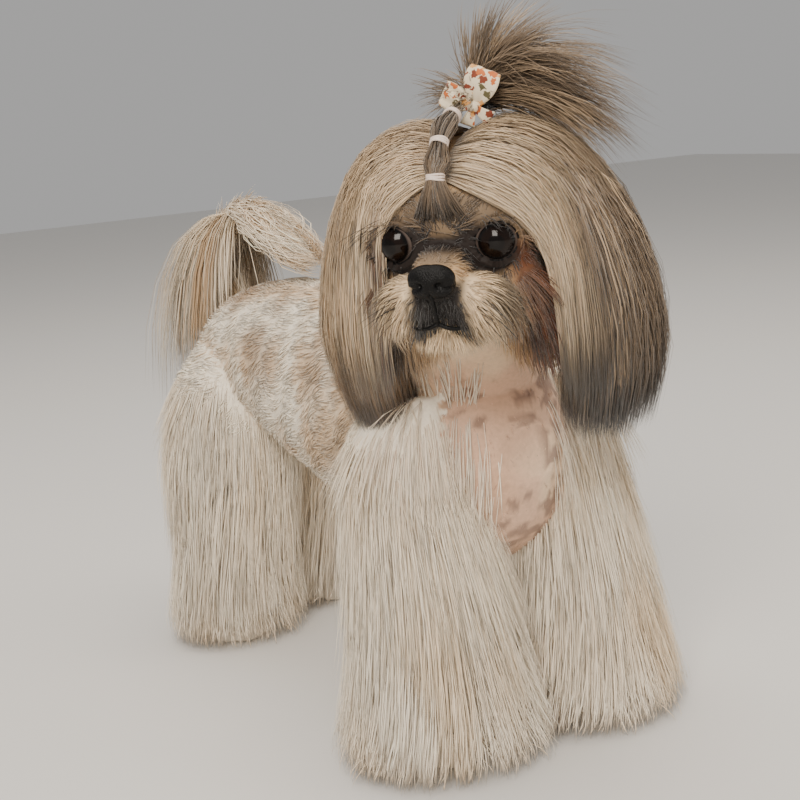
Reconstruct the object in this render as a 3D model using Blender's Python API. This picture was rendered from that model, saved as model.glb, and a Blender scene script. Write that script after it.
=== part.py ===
"""A shih tzu standing square, in a short body trim with the long coat left on its legs, ears, tail and topknot.

The animal is laid out facing -Y with its left side at +X and the floor at z = 0, in metres. At the end all of it
is moved so that the origin lies at the bottom centre of its bounding box. The head is laid out in a frame of its
own, centred in the skull and facing -Y, and is then turned and tipped into place. The short coat is part of the
surface of the trunk, neck and head. The long coat is flat, tapered locks, each rooted in what it grows from.
"""

import math
import random

import bmesh
import bpy
import numpy as np
from mathutils import Matrix, Vector

GAP = 0.0003  # left between pieces that touch
SWELL_EASE = 0.05  # evens out how far the points of a cutter move, and the most gaps that one moves
SWELL_MOST = 3.0
SWELL_LEAST = 0.1  # the least move that is scaled, in gaps
FLAT_ANGLES = [math.radians(0.3), math.radians(0.1), 0.0]  # at which faces count as flat, widest first

# The trunk: distance along the body, top line, underline and half width of each section
TRUNK = [
    (-0.166, 0.186, 0.148, 0.020),
    (-0.150, 0.212, 0.111, 0.044),
    (-0.122, 0.236, 0.092, 0.057),
    (-0.080, 0.249, 0.094, 0.062),
    (-0.030, 0.250, 0.108, 0.064),
    (0.030, 0.250, 0.124, 0.062),
    (0.080, 0.249, 0.138, 0.058),
    (0.122, 0.243, 0.140, 0.057),
    (0.156, 0.230, 0.142, 0.048),
    (0.177, 0.203, 0.158, 0.027),
]
TRUNK_POWER = 2.2  # how square its sections are: 2 is round

# The neck: centre line, half width and half depth
NECK = [
    (0.000, -0.092, 0.186, 0.050, 0.052),
    (-0.004, -0.122, 0.222, 0.045, 0.046),
    (-0.014, -0.150, 0.252, 0.040, 0.040),
    (-0.028, -0.165, 0.280, 0.037, 0.036),
]

# The head's place and turn: towards its right, and nose down
HEAD_CENTRE = Vector((-0.0326, -0.1731, 0.292))
HEAD_TURN = math.radians(-50)
HEAD_TIP = math.radians(8)
HEAD = Matrix.Translation(HEAD_CENTRE) @ Matrix.Rotation(HEAD_TURN, 4, "Z") @ Matrix.Rotation(HEAD_TIP, 4, "X")

# The skull in the head's frame: distance along it, top, bottom and half width
SKULL = [
    (-0.050, 0.012, -0.012, 0.014),
    (-0.045, 0.030, -0.032, 0.033),
    (-0.032, 0.041, -0.041, 0.043),
    (-0.008, 0.047, -0.044, 0.048),
    (0.020, 0.046, -0.040, 0.048),
    (0.042, 0.035, -0.030, 0.037),
    (0.054, 0.014, -0.010, 0.016),
]
SKULL_POWER = 2.3

# The eyes, and the lids round them
EYE_RADIUS = 0.0115
EYE_PLACE = (0.0240, -0.0400, 0.004)
EYE_SPLAY = math.radians(14)
LID = 0.0020  # how far a lid stands proud of the eyeball
OPENING = (0.0112, 0.0140, 0.0088)

# The short muzzle: its bridge as the skull's rows, then the pads of the upper lip, the chin and the nose
BRIDGE = [
    (-0.036, 0.006, -0.030, 0.018),
    (-0.050, 0.005, -0.026, 0.014),
    (-0.064, 0.002, -0.022, 0.012),
    (-0.072, -0.003, -0.017, 0.009),
]
BRIDGE_POWER = 2.4
PAD_PLACE = (0.0130, -0.0560, -0.0215)
PAD_SIZE = (0.0175, 0.0150, 0.0140)
CHIN_PLACE = (0.0, -0.0500, -0.0375)
CHIN_SIZE = (0.0190, 0.0140, 0.0090)
NOSE_PLACE = (0.0, -0.0735, -0.0075)
NOSE_SIZE = (0.0115, 0.0065, 0.0080)
NOSTRIL_PLACE = (0.0058, -0.0795, -0.0085)
NOSTRIL_SIZE = (0.0022, 0.0040, 0.0016)

# Crown locks, from the parting over each side of the head: place along it, how far they hang, and width
CROWN = [
    (-0.032, 0.080, 0.0180),
    (-0.016, 0.050, 0.0200),
    (0.001, 0.024, 0.0210),
    (0.018, 0.026, 0.0210),
    (0.034, 0.036, 0.0200),
]
CROWN_THICK = 0.0040
CROWN_TILT = math.radians(7)
CROWN_WIDEST = 0.8  # width of its locks at the root, as a share of their full width
# Their way over the skull: how far across, how much further forward, and how far over the skull's surface.
# The last two places hang from the head's shoulder.
CROWN_WAY = [(0.004, 0.002, -0.0040), (0.018, 0.0, 0.0022), (0.034, -0.001, 0.0032)]
SHOULDER = 0.040  # how far across the head's shoulder lies
SHOULDER_WAY = [(0.048, -0.002), (0.052, -0.003)]
SHOULDER_FALL = 0.010  # below the shoulder at the first of them
CROWN_RISE = 1.2  # how much the locks face up, against to the side

# Nape locks, from the back of the crown: how many, how far they spread, width and thickness
NAPE_LOCKS = 4
NAPE_SPREAD = 0.034
NAPE_SIZE = (0.0200, 0.0045)
NAPE_BACK = 0.052
NAPE_ROUND = 7.0  # how fast the back of the skull falls away to its sides
NAPE_FACE = 5.0  # how much they face back, against up
NAPE_WAY = [(0.6, -0.020, 0.030), (0.9, -0.002, 0.022), (1.0, 0.003, -0.004), (1.05, 0.001, -0.036)]

# Cheek locks, below the eyes: where each roots across, back and up, and how far it falls
CHEEK = [
    (0.0400, -0.034, -0.004, 0.040),
    (0.0350, -0.040, -0.010, 0.038),
]
CHEEK_SIZE = (0.0140, 0.0045)
# Their way down: out and back from the root, and share of the fall
CHEEK_WAY = [(-0.008, 0.006, 0.0), (0.001, -0.0045, 0.3), (0.003, -0.005, 0.7), (0.003, -0.001, 1.0)]

# Whiskers that fan from each pad, how far they reach in turn, and the turns of the first and last
MOUSTACHE_LOCKS = 7
MOUSTACHE_REACH = (0.0200, 0.0175)
MOUSTACHE_TURNS = (28, -80)
MOUSTACHE_ROOT = 0.009  # from the pad's middle
MOUSTACHE_FALL = (0.003, 0.007)
MOUSTACHE_FORWARD = (-0.10, -0.04)  # how much they lean forward in turn
# The beard, in the same way
BEARD_LOCKS = 7
BEARD_REACH = (0.0165, 0.0185)
BEARD_TURNS = (-150, -30)
BEARD_ROOT = np.array([0.011, 0.007, 0.004])
BEARD_FALL = 0.002
BEARD_FORWARD = (-0.25, -0.10)
FACE_LOCK_SIZE = (0.0125, 0.0042)
FACE_LOCK_FACES = (0, -1, 0.15)
FACE_LOCK_WIDEST = 0.6
# Short hair that stands up on the bridge between the eyes: place across, how far it leans out, and reach
BROW_LOCKS = [(0.003, 0.22, 0.013), (0.009, 0.38, 0.012)]
BROW_FORWARD = -0.55
BROW_ROOT = (-0.053, 0.001)
BROW_WIDTH = 0.0065

# The hair mass of an ear in the head's frame: out from the middle, back, up, half width and half depth
EAR = [
    (0.028, 0.004, 0.046, 0.008, 0.022),
    (0.045, 0.004, 0.037, 0.013, 0.032),
    (0.059, 0.005, 0.016, 0.019, 0.036),
    (0.066, 0.006, -0.015, 0.025, 0.038),
    (0.069, 0.006, -0.048, 0.029, 0.036),
    (0.066, 0.006, -0.080, 0.028, 0.033),
    (0.060, 0.006, -0.111, 0.024, 0.027),
]
# How far out each ear lies, how wide its hair is and how many of its locks are left out, by side
EAR_SIDES = {1: (1.0, 1.0, 0), -1: (0.93, 0.80, 1)}
EAR_CORE_SHARE = 0.5  # of the hair mass's width
EAR_CORE_END = 0.62  # of its length
CUP_PLACE = (0.047, 0.004, 0.004)
CUP_SIZE = (0.0060, 0.0120, 0.0200)
# Locks of an ear: share of the length where they root and end, how many, width, and share of the hair's width
EAR_TIERS = [
    (0.03, 1.00, 9, 0.0245, 0.93),
    (0.40, 0.95, 4, 0.0260, 0.66),
]
EAR_THICK = 0.0060
EAR_TILT = math.radians(10)
EAR_ROOT = 0.34  # share of the hair's width at which its locks root
EAR_LIFT = 0.26  # share of their length over which they come out
EAR_EASE = 0.8  # how evenly
EAR_LEAN = 0.12  # how far they face up
EAR_FLAT = 1.35  # how much flatter the hair mass is seen from the side than from the front
EAR_CROWD = 0.09  # how far locks are moved towards its flat sides, so that they stand evenly
EAR_UNEVEN = 0.05  # how much shorter a lock may be, as a share of the ear's length

# The topknot in the head's frame, from the brow to the bow: back, up, half width and half thickness
BRAID = [
    (-0.047, 0.014, 0.018, 0.004),
    (-0.0515, 0.027, 0.010, 0.005),
    (-0.050, 0.036, 0.0045, 0.0045),
    (-0.045, 0.042, 0.008, 0.006),
    (-0.038, 0.050, 0.0045, 0.0045),
    (-0.026, 0.056, 0.008, 0.006),
    (-0.012, 0.058, 0.0045, 0.0045),
    (-0.001, 0.060, 0.0065, 0.0055),
]
BRAID_RIDGE = 0.14
BAND_ROWS = (2, 4, 6)  # the rows that the two elastics and the bow's own tie are round
BAND_RADIUS = 0.0012
BAND_WIDTH = 1.6  # how much wider a band is than thick
BOW_PLACE = Vector((0.008, 0.003, 0.0600))
BOW_KNOT = (0.0034, 0.0036, 0.0036)
# The loops: the way each stands from the knot, and sections along it of length, half width and half thickness
BOW_WAYS = [(0.42, -0.10, 0.90), (-0.86, -0.10, 0.50)]
BOW_LOOP = [
    (0.0005, 0.0022, 0.0016),
    (0.0080, 0.0062, 0.0026),
    (0.0135, 0.0064, 0.0024),
    (0.0175, 0.0035, 0.0012),
]
SPRAY_ROOT = Vector((0.006, 0.013, 0.061))
SPRAY_BALL = (0.0055, 0.0055, 0.0065)
# The sprays above the bow: how many locks, length, the ways they leave and end (across, back and up), and spread
SPRAYS = [
    (6, 0.045, (0.12, 0.10, 1.0), (0.38, 0.45, 0.8), 0.32),
    (5, 0.084, (0.45, 0.25, 0.9), (0.90, 0.25, -0.75), 0.34),
    (4, 0.080, (0.70, 0.35, 0.55), (0.70, 0.20, -0.95), 0.36),
    (3, 0.050, (0.10, 0.90, 0.55), (0.20, 0.95, -0.60), 0.50),
    (2, 0.034, (-0.80, 0.30, 0.50), (-0.85, 0.25, -0.30), 0.40),
]
SPRAY_SIZE = (0.0125, 0.0036)
SPRAY_SHORTEST = 0.86  # of its group's length
SPRAY_STRAY = 0.0010  # how far from the middle its locks root
# How a group's locks fan out: to each side in turn, back, and up for every other one
SPRAY_FAN = (0.5, 0.9, 0.10)
SPRAY_BEND = (1.15, 0.65)  # how much of a lock follows the way it leaves and the way it ends

# Where each foot stands, and where the middle of each limb's top is, in plan
FEET = {
    "fore_left": (0.056, -0.136),
    "fore_right": (-0.050, -0.136),
    "hind_left": (0.042, 0.146),
    "hind_right": (-0.052, 0.120),
}
TOPS = {
    "fore_left": (0.062, -0.114),
    "fore_right": (-0.050, -0.120),
    "hind_left": (0.040, 0.124),
    "hind_right": (-0.040, 0.122),
}
# A limb under its coat, from its top down: height, share of the way in plan from its top to its foot, half width,
# half depth, and how far back its middle lies
FORE_LIMB = [
    (0.216, 0.0, 0.007, 0.012, 0.012),
    (0.198, 0.0, 0.018, 0.024, 0.008),
    (0.165, 0.1, 0.025, 0.029, 0.002),
    (0.120, 0.4, 0.024, 0.026, 0.000),
    (0.075, 0.8, 0.021, 0.022, 0.000),
    (0.035, 1.0, 0.019, 0.020, 0.000),
    (0.014, 1.0, 0.022, 0.027, -0.004),
    (0.003, 1.0, 0.021, 0.026, -0.005),
]
HIND_LIMB = [
    (0.224, 0.0, 0.008, 0.016, 0.000),
    (0.202, 0.0, 0.021, 0.032, 0.000),
    (0.165, 0.1, 0.028, 0.040, -0.002),
    (0.122, 0.4, 0.025, 0.034, -0.010),
    (0.082, 0.7, 0.020, 0.025, 0.002),
    (0.050, 0.9, 0.017, 0.020, 0.012),
    (0.028, 1.0, 0.017, 0.019, 0.004),
    (0.013, 1.0, 0.020, 0.025, -0.004),
    (0.003, 1.0, 0.019, 0.024, -0.005),
]
SOLE_SHARE = 0.92  # the size of the flat sole against the foot just above it
TOP_TURN = 0.180  # the height over which a limb turns in under the trunk's skin, and how far it does by its top
TOP_INSET = 0.020
# The outline of the long coat round a limb, from its top down: height and radius
FORE_COAT = [
    (0.205, 0.026),
    (0.180, 0.034),
    (0.140, 0.040),
    (0.095, 0.047),
    (0.050, 0.053),
    (0.020, 0.058),
    (0.004, 0.057),
]
HIND_COAT = [
    (0.215, 0.022),
    (0.190, 0.034),
    (0.160, 0.044),
    (0.130, 0.048),
    (0.090, 0.045),
    (0.050, 0.043),
    (0.020, 0.045),
    (0.004, 0.042),
]
# Locks round a limb: root height, lowest and highest tip, how many, width, the share of its length over which
# each comes out to the outline, and how far inside the outline it lies
LEG_TIERS = [
    (0.190, 0.0030, 0.0140, 9, 0.0400, 0.32, 0.0000),
    (0.105, 0.0025, 0.0060, 8, 0.0380, 0.50, 0.0075),
]
LEG_THICK = 0.0080
LEG_TILT = math.radians(9)
LEG_ROOT = 0.014  # how far from the limb's middle its locks root
LEG_EASE = 0.9  # how evenly they come out, and how far they face up
LEG_LEAN = 0.08
LEG_TUCK = 0.003  # how far their tips turn in, and from which share of their length
LEG_TUCK_FROM = 0.85
LEG_INNER = 0.20  # how much fuller the coat is on the inner side, where the two legs' coats meet
LEG_STATIONS = (0.66, 0.90)  # where their sections are below the place where they reach the outline
MIDDLE_CLEAR = 0.008  # how near to the plane between left and right a leg's coat comes

# The line of the tail, from the rump up, round its bend and over the back: back, up and half thickness
TAIL = [
    (0.160, 0.212, 0.0120),
    (0.178, 0.232, 0.0105),
    (0.186, 0.256, 0.0090),
    (0.180, 0.276, 0.0080),
    (0.162, 0.286, 0.0075),
    (0.138, 0.289, 0.0070),
    (0.112, 0.285, 0.0060),
    (0.088, 0.275, 0.0050),
    (0.068, 0.264, 0.0040),
    (0.050, 0.257, 0.0030),
    (0.034, 0.2535, 0.0020),
]
# The lengths that it is divided into, as shares of its line
TAIL_LENGTHS = {"tail_root": (0.0, 0.19), "tail_bend": (0.19, 0.40), "tail_tip": (0.40, 0.80)}
# The plume that falls behind the rump: place along the tail, turn from straight back to the right, how far it
# stands out, and how far it falls
BEND_PLUME = [
    (0.24, -38, 0.034, 0.086),
    (0.26, 0, 0.032, 0.100),
    (0.28, 50, 0.040, 0.108),
    (0.30, 96, 0.044, 0.104),
    (0.32, -66, 0.036, 0.086),
    (0.335, 24, 0.050, 0.126),
    (0.35, 72, 0.060, 0.136),
    (0.365, -18, 0.046, 0.108),
    (0.375, 110, 0.050, 0.116),
    (0.385, 50, 0.072, 0.124),
]
BEND_WIDTH = 0.0240
PLUME_THICK = 0.0046
PLUME_RISE = 0.030  # how far its locks rise as they leave the tail
PLUME_DROOP = 1.8  # how late they fall: the power of their share of the length
PLUME_REACH = 1.7  # how early they reach out, in the same way
PLUME_FACE = 0.8  # how much they face out, against up
PLUME_TWIST = 1.0  # how much they are turned about their length, to one side and the other in turn
# The plume of the part that comes over: place where it roots, how far it bows out to the side and hangs below
# the tail's line
TIP_PLUME = [
    (0.42, 0.014, 0.006),
    (0.47, 0.022, 0.014),
    (0.53, 0.010, 0.002),
    (0.60, 0.018, 0.010),
]
TIP_WIDTH = 0.0190
TIP_PLUME_LENGTH = 0.34  # as a share of the tail's line
TIP_OFFSET = 0.015  # how much further along the right side's locks root
TIP_FACE = 0.015  # how far up they face, against how far they bow out
TIP_ARC = (0.05, 0.95)  # the part of a half turn that they bow through
BACK_LEVEL = 0.2515  # the height that the plume lies at on the back

# How finely each form is built: rings along it and points round each ring
MESH = {
    "torso": (15, 18),
    "neck": (7, 18),
    "head": (9, 16),
    "lid": (7, 12),
    "opening": (6, 12),
    "eyeball": (7, 12),
    "bridge": (5, 12),
    "pad": (7, 12),
    "chin": (6, 12),
    "nose": (7, 14),
    "nostril": (4, 8),
    "ear": (5, 8),
    "cup": (5, 8),
    "braid": (15, 12),
    "knot": (5, 8),
    "loop": (4, 6),
    "band": (5, 10),
    "limb": (8, 10),
    "tail": (6, 10),
}

# A lock: its width along its length, how high its ridge stands against its thickness, how much thinner its tip
# is, and where its sections are in a straight and in a bent one
LOCK_SHAPE = ((0.0, 0.3, 0.65, 0.88, 1.0), (1.0, 1.0, 0.96, 0.64, 0.0))
LOCK_RIDGE = 0.7
LOCK_THIN = 0.55
LOCK_STRAY = 0.03  # how far a lock of a ring strays round it from its even place, in radians
SHORT_LOCK = (0.0, 0.6)
STRAIGHT_LOCK = (0.0, 0.38, 0.80)
BENT_LOCK = (0.0, 0.28, 0.57, 0.84)
SEED = 3

chance = random.Random(SEED)


def clear_scene():
    for obj in list(bpy.data.objects):
        bpy.data.objects.remove(obj)


def finish_of(name, colour, roughness):
    """The plain material of one kind of surface."""
    made = bpy.data.materials.get(name)
    if made is None:
        made = bpy.data.materials.new(name)
        made.use_nodes = True
        shader = made.node_tree.nodes["Principled BSDF"]
        shader.inputs["Base Color"].default_value = (*colour, 1)
        shader.inputs["Roughness"].default_value = roughness
    return made


def cream():
    return finish_of("cream_coat", (0.70, 0.60, 0.47), 0.7)


def tan():
    return finish_of("tan_coat", (0.50, 0.38, 0.26), 0.7)


def grey():
    return finish_of("grey_coat", (0.19, 0.16, 0.13), 0.65)


def black():
    return finish_of("black_leather", (0.012, 0.010, 0.010), 0.35)


def rubber():
    return finish_of("band_rubber", (0.75, 0.68, 0.60), 0.5)


def cloth():
    return finish_of("bow_cloth", (0.80, 0.68, 0.50), 0.8)


def curve_at(rows, shares):
    """The rows of a smooth curve through the given rows, at shares of its length from 0 to 1."""
    rows = np.asarray(rows, float)
    padded = np.vstack([2 * rows[0] - rows[1], rows, 2 * rows[-1] - rows[-2]])
    place = np.asarray(shares, float) * (len(rows) - 1)
    first = np.minimum(place.astype(int), len(rows) - 2)
    t = (place - first)[:, None]
    a, b, c, d = (padded[first + i] for i in range(4))
    return 0.5 * (2 * b + (c - a) * t + (2 * a - 5 * b + 4 * c - d) * t**2 + (3 * b - a - 3 * c + d) * t**3)


def curve_through(rows, count):
    """Rows of numbers resampled to count rows on a smooth curve that passes through them."""
    return curve_at(rows, np.linspace(0, 1, count))


def path_through(places):
    """The smooth curve through some places, as a function of the share of its length."""
    return lambda share: curve_at(places, [share])[0]


def row_at(rows, place):
    """The numbers of rows at a place between them, straight from row to row. A row's first number is its place."""
    columns = np.array(rows).T
    order = np.argsort(columns[0])
    return [np.interp(place, columns[0][order], column[order]) for column in columns[1:]]


def unit(vector):
    vector = np.asarray(vector, float)
    return vector / np.linalg.norm(vector)


def to_side(place, side):
    """A place on the left side, or its mirror image on the right for a side of -1."""
    x, y, z = place
    return Vector((side * x, y, z))


def turn_angles(count):
    return np.linspace(0, 2 * math.pi, count, endpoint=False)


def mesh_object(name, points, faces, material):
    """A mesh object with its faces split into triangles and pointing out."""
    triangles = [(f[0], f[i], f[i + 1]) for f in faces for i in range(1, len(f) - 1)]
    mesh = bpy.data.meshes.new(name)
    mesh.from_pydata([tuple(p) for p in points], [], triangles)
    mesh.update()
    corners = np.asarray(points, float)
    a, b, c = (corners[[t[i] for t in triangles]] for i in range(3))
    if np.einsum("ij,ij->", a, np.cross(b, c)) < 0:
        mesh.flip_normals()
    mesh.materials.append(material)
    mesh.shade_smooth()
    obj = bpy.data.objects.new(name, mesh)
    bpy.context.scene.collection.objects.link(obj)
    return obj


def loft(name, rings, material, start=None, end=None):
    """A closed mesh through rings of equally many points, each end closed to a pole, in its middle unless given."""
    rings = np.asarray(rings, float)
    count, sides = rings.shape[:2]
    start = rings[0].mean(0) if start is None else start
    end = rings[-1].mean(0) if end is None else end
    points = np.vstack([rings.reshape(-1, 3), start, end])
    first_pole, last_pole, last = count * sides, count * sides + 1, (count - 1) * sides
    faces = []
    for i in range(count - 1):
        for j in range(sides):
            k = (j + 1) % sides
            faces.append((i * sides + j, i * sides + k, (i + 1) * sides + k, (i + 1) * sides + j))
    for j in range(sides):
        k = (j + 1) % sides
        faces.append((first_pole, k, j))
        faces.append((last_pole, last + j, last + k))
    return mesh_object(name, points, faces, material)


def upright_rings(rows, sides, power):
    """Sections across Y, from rows of (y, top, bottom, half width), as superellipses."""
    turn = turn_angles(sides)
    across, up = np.cos(turn), np.sin(turn)
    across = np.sign(across) * abs(across) ** (2 / power)
    up = np.sign(up) * abs(up) ** (2 / power)
    return [
        np.stack([half * across, np.full(sides, y), (top + bottom) / 2 + (top - bottom) / 2 * up], 1)
        for y, top, bottom, half in rows
    ]


def tube_rings(path, radii, sides, ridge=0.0):
    """Rings square to a path in the YZ plane or near it, of the given radii across and in the plane.
    A ridge makes every other point dip by that share, as strands side by side do."""
    path = np.asarray(path, float)
    turn = turn_angles(sides)
    dip = 1 - ridge * (np.arange(sides) % 2)
    rings = []
    for centre, way, (wide, deep) in zip(path, np.gradient(path, axis=0), radii):
        way = unit(way)
        side = unit(np.array([1.0, 0, 0]) - way * way[0])
        third = np.cross(way, side)
        rings.append(centre + np.outer(np.cos(turn) * wide * dip, side) + np.outer(np.sin(turn) * deep * dip, third))
    return rings


def flat_rings(rows, sides):
    """Level rings, from rows of (x, y, z, half width across X, half depth along Y)."""
    turn = turn_angles(sides)
    return [
        np.stack([x + wide * np.cos(turn), y + deep * np.sin(turn), np.full(sides, z)], 1)
        for x, y, z, wide, deep in rows
    ]


def ball(name, centre, radii, material, mesh):
    """An ellipsoid."""
    rings, sides = mesh
    turn = turn_angles(sides)
    shape = np.array([
        np.stack([np.sin(r) * np.cos(turn), np.sin(r) * np.sin(turn), np.full(sides, np.cos(r))], 1)
        for r in np.linspace(0, math.pi, rings + 2)[1:-1]
    ])
    radii, centre = np.asarray(radii), np.asarray(centre)
    pole = np.array([0, 0, radii[2]])
    return loft(name, shape * radii + centre, material, centre + pole, centre - pole)


def lock(path, size, out, material, stations=STRAIGHT_LOCK, root=0.35, tilt=0.0):
    """A flat, tapered lock along path, a function of shares from root to tip, of a size (width, thickness).
    Its inner face is flat, and it is thickest along its middle, towards out, which points away from the coat.
    Root is its width where it grows, as a share of its full width. A tilt lifts one edge and sinks the other,
    so that locks side by side lie over one another like tiles."""
    points = np.array([path(s) for s in (*stations, 1.0)])
    shares, shape = LOCK_SHAPE
    widths = np.interp(stations, shares, (root, *shape[1:]))
    width, thickness = size
    rings = []
    for share, centre, way, wide in zip(stations, points, np.gradient(points, axis=0), widths):
        way = unit(way)
        face = np.asarray(out, float)
        face = unit(face - way * np.dot(face, way))
        side = np.cross(way, face)
        side, face = side * math.cos(tilt) + face * math.sin(tilt), face * math.cos(tilt) - side * math.sin(tilt)
        half, high = width * wide / 2, thickness * (1 - LOCK_THIN * share) * LOCK_RIDGE
        rings.append([centre + side * half, centre + face * high, centre - side * half])
    return loft("lock", rings, material, end=points[-1])


def turned(obj, matrix):
    """The object with its mesh moved by a matrix, so that its own place stays at the origin."""
    obj.data.transform(matrix)
    obj.data.update()
    return obj


def copied(obj):
    made = obj.copy()
    made.data = obj.data.copy()
    bpy.context.scene.collection.objects.link(made)
    return made


def swollen(obj):
    """A copy whose faces lie further out by the gap, for cutting a neighbour clear.
    Each point moves by what best suits all the faces round it, so that sharp edges keep their gap too."""
    made = copied(obj)
    mesh = made.data
    mesh.calc_loop_triangles()
    points = np.array([v.co for v in mesh.vertices])
    corners = np.array([t.vertices[:] for t in mesh.loop_triangles])
    normals = np.array([t.normal for t in mesh.loop_triangles])
    planes = np.zeros((len(points), 3, 3))
    sums = np.zeros((len(points), 3))
    for i in range(3):
        here, one, other = (points[corners[:, (i + j) % 3]] for j in range(3))
        a, b = one - here, other - here
        angle = np.arctan2(np.linalg.norm(np.cross(a, b), axis=1), np.einsum("ij,ij->i", a, b))[:, None]
        np.add.at(planes, corners[:, i], angle[:, :, None] * normals[:, :, None] * normals[:, None, :])
        np.add.at(sums, corners[:, i], angle * normals)
    moves = np.linalg.solve(planes + np.eye(3) * SWELL_EASE, sums[:, :, None] * GAP)[:, :, 0]
    length = np.linalg.norm(moves, axis=1, keepdims=True)
    moves *= np.minimum(1.0, SWELL_MOST * GAP / np.maximum(length, SWELL_LEAST * GAP))
    mesh.vertices.foreach_set("co", (points + moves).astype(np.float32).ravel())
    mesh.update()
    return made


def combine(obj, others, operation):
    """One Boolean of obj with a collection of closed meshes, applied. The others are removed."""
    group = bpy.data.collections.new("operands")
    bpy.context.scene.collection.children.link(group)
    for other in others:
        bpy.context.scene.collection.objects.unlink(other)
        group.objects.link(other)
    step = obj.modifiers.new("combine", "BOOLEAN")
    step.operation = operation
    step.solver = "MANIFOLD"
    step.operand_type = "COLLECTION"
    step.collection = group
    graph = bpy.context.evaluated_depsgraph_get()
    graph.update()
    mesh = bpy.data.meshes.new_from_object(obj.evaluated_get(graph))
    obj.modifiers.clear()
    obj.data = mesh
    for other in others:
        bpy.data.objects.remove(other)
    bpy.data.collections.remove(group)
    clean_faces(mesh)
    return keep_largest(obj)


def clean_faces(mesh):
    """Joins faces that are flat together, takes out points that only split an edge, and leaves triangles.
    The widest angle that keeps every edge between two faces is used."""
    for angle in FLAT_ANGLES:
        work = bmesh.new()
        work.from_mesh(mesh)
        bmesh.ops.dissolve_limit(work, angle_limit=angle, verts=work.verts[:], edges=work.edges[:])
        bmesh.ops.dissolve_verts(work, verts=[v for v in work.verts if len(v.link_edges) == 2])
        bmesh.ops.triangulate(work, faces=work.faces[:])
        if all(len(edge.link_faces) == 2 for edge in work.edges):
            break
    work.to_mesh(mesh)
    work.free()


def surface_groups(mesh):
    """For each face, the lowest index among the faces that it is joined to, edge by edge."""
    edges = np.empty(len(mesh.loops), np.int32)
    sizes = np.empty(len(mesh.polygons), np.int32)
    mesh.loops.foreach_get("edge_index", edges)
    mesh.polygons.foreach_get("loop_total", sizes)
    faces = np.repeat(np.arange(len(sizes)), sizes)
    a, b = faces[np.argsort(edges, kind="stable")].reshape(-1, 2).T
    group = np.arange(len(sizes))
    while True:
        low = np.minimum(group[a], group[b])
        new = group.copy()
        np.minimum.at(new, a, low)
        np.minimum.at(new, b, low)
        new = new[new]
        if (new == group).all():
            return group
        group = new


def keep_largest(obj):
    """Keeps the largest closed surface of the mesh."""
    mesh = obj.data
    group = surface_groups(mesh)
    if len(np.unique(group)) == 1:
        return obj
    points = np.array([v.co for v in mesh.vertices])
    mesh.calc_loop_triangles()
    corners = np.array([t.vertices[:] for t in mesh.loop_triangles])
    owners = np.array([t.polygon_index for t in mesh.loop_triangles])
    a, b, c = (points[corners[:, i]] for i in range(3))
    volumes = np.bincount(group[owners], weights=np.einsum("ij,ij->i", a, np.cross(b, c)))
    kept = int(np.argmax(volumes))
    old_faces = [p.vertices[:] for p in mesh.polygons if group[p.index] == kept]
    used = sorted({v for face in old_faces for v in face})
    index = {old: new for new, old in enumerate(used)}
    made = bpy.data.meshes.new(mesh.name)
    made.from_pydata([tuple(points[i]) for i in used], [], [[index[v] for v in face] for face in old_faces])
    for material in mesh.materials:
        made.materials.append(material)
    made.shade_smooth()
    obj.data = made
    return obj


def clear_of(obj, *neighbours):
    """obj cut back so that a gap is left between it and each neighbour."""
    cutters = [make(neighbour) for neighbour in neighbours for make in (swollen, copied)]
    return combine(obj, cutters, "DIFFERENCE")


def trunk():
    rings, sides = MESH["torso"]
    return loft("torso", upright_rings(curve_through(TRUNK, rings), sides, TRUNK_POWER), tan())


def neck(torso, head):
    rings, sides = MESH["neck"]
    rows = curve_through(NECK, rings)
    made = loft("neck", tube_rings(rows[:, :3], rows[:, 3:], sides), cream())
    return clear_of(made, torso, head)


def skull_top(y, x):
    """The height of the skull's upper surface in the head's frame, at a place back from its middle and across."""
    top, bottom, half = row_at(SKULL, y)
    share = min(abs(x) / half, 1.0)
    return (top + bottom) / 2 + (top - bottom) / 2 * (1 - share**SKULL_POWER) ** (1 / SKULL_POWER)


def crown_locks():
    """Locks that part along the middle of the head and lie over it to each side."""
    made = []
    for side in (1, -1):
        for y, hang, width in CROWN:
            shoulder = skull_top(y, SHOULDER)
            places = [(side * x, y + forward, skull_top(y, x) + over) for x, forward, over in CROWN_WAY]
            falls = (SHOULDER_FALL, hang)
            places += [(side * x, y + forward, shoulder - fall) for (x, forward), fall in zip(SHOULDER_WAY, falls)]
            size = (width, CROWN_THICK)
            out = (side, 0, CROWN_RISE)
            made.append(lock(path_through(places), size, out, tan(), BENT_LOCK, CROWN_WIDEST, -side * CROWN_TILT))
    return made


def nape_locks():
    """Locks that fall from the back of the crown."""
    made = []
    for i in range(NAPE_LOCKS):
        x = NAPE_SPREAD * (2 * i / (NAPE_LOCKS - 1) - 1)
        back = NAPE_BACK - NAPE_ROUND * x * x
        places = [(x * share, back + forward, z) for share, forward, z in NAPE_WAY]
        out = (x / NAPE_SPREAD, NAPE_FACE, 1)
        made.append(lock(path_through(places), NAPE_SIZE, out, tan(), BENT_LOCK, 0.6, CROWN_TILT))
    return made


def cheek_locks():
    """Short locks that sweep down and back below the eyes."""
    made = []
    for side in (1, -1):
        for x, y, z, fall in CHEEK:
            places = [(side * (x + out), y + back, z - fall * share) for out, back, share in CHEEK_WAY]
            made.append(lock(path_through(places), CHEEK_SIZE, (side, -1, 0), tan()))
    return made


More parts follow.
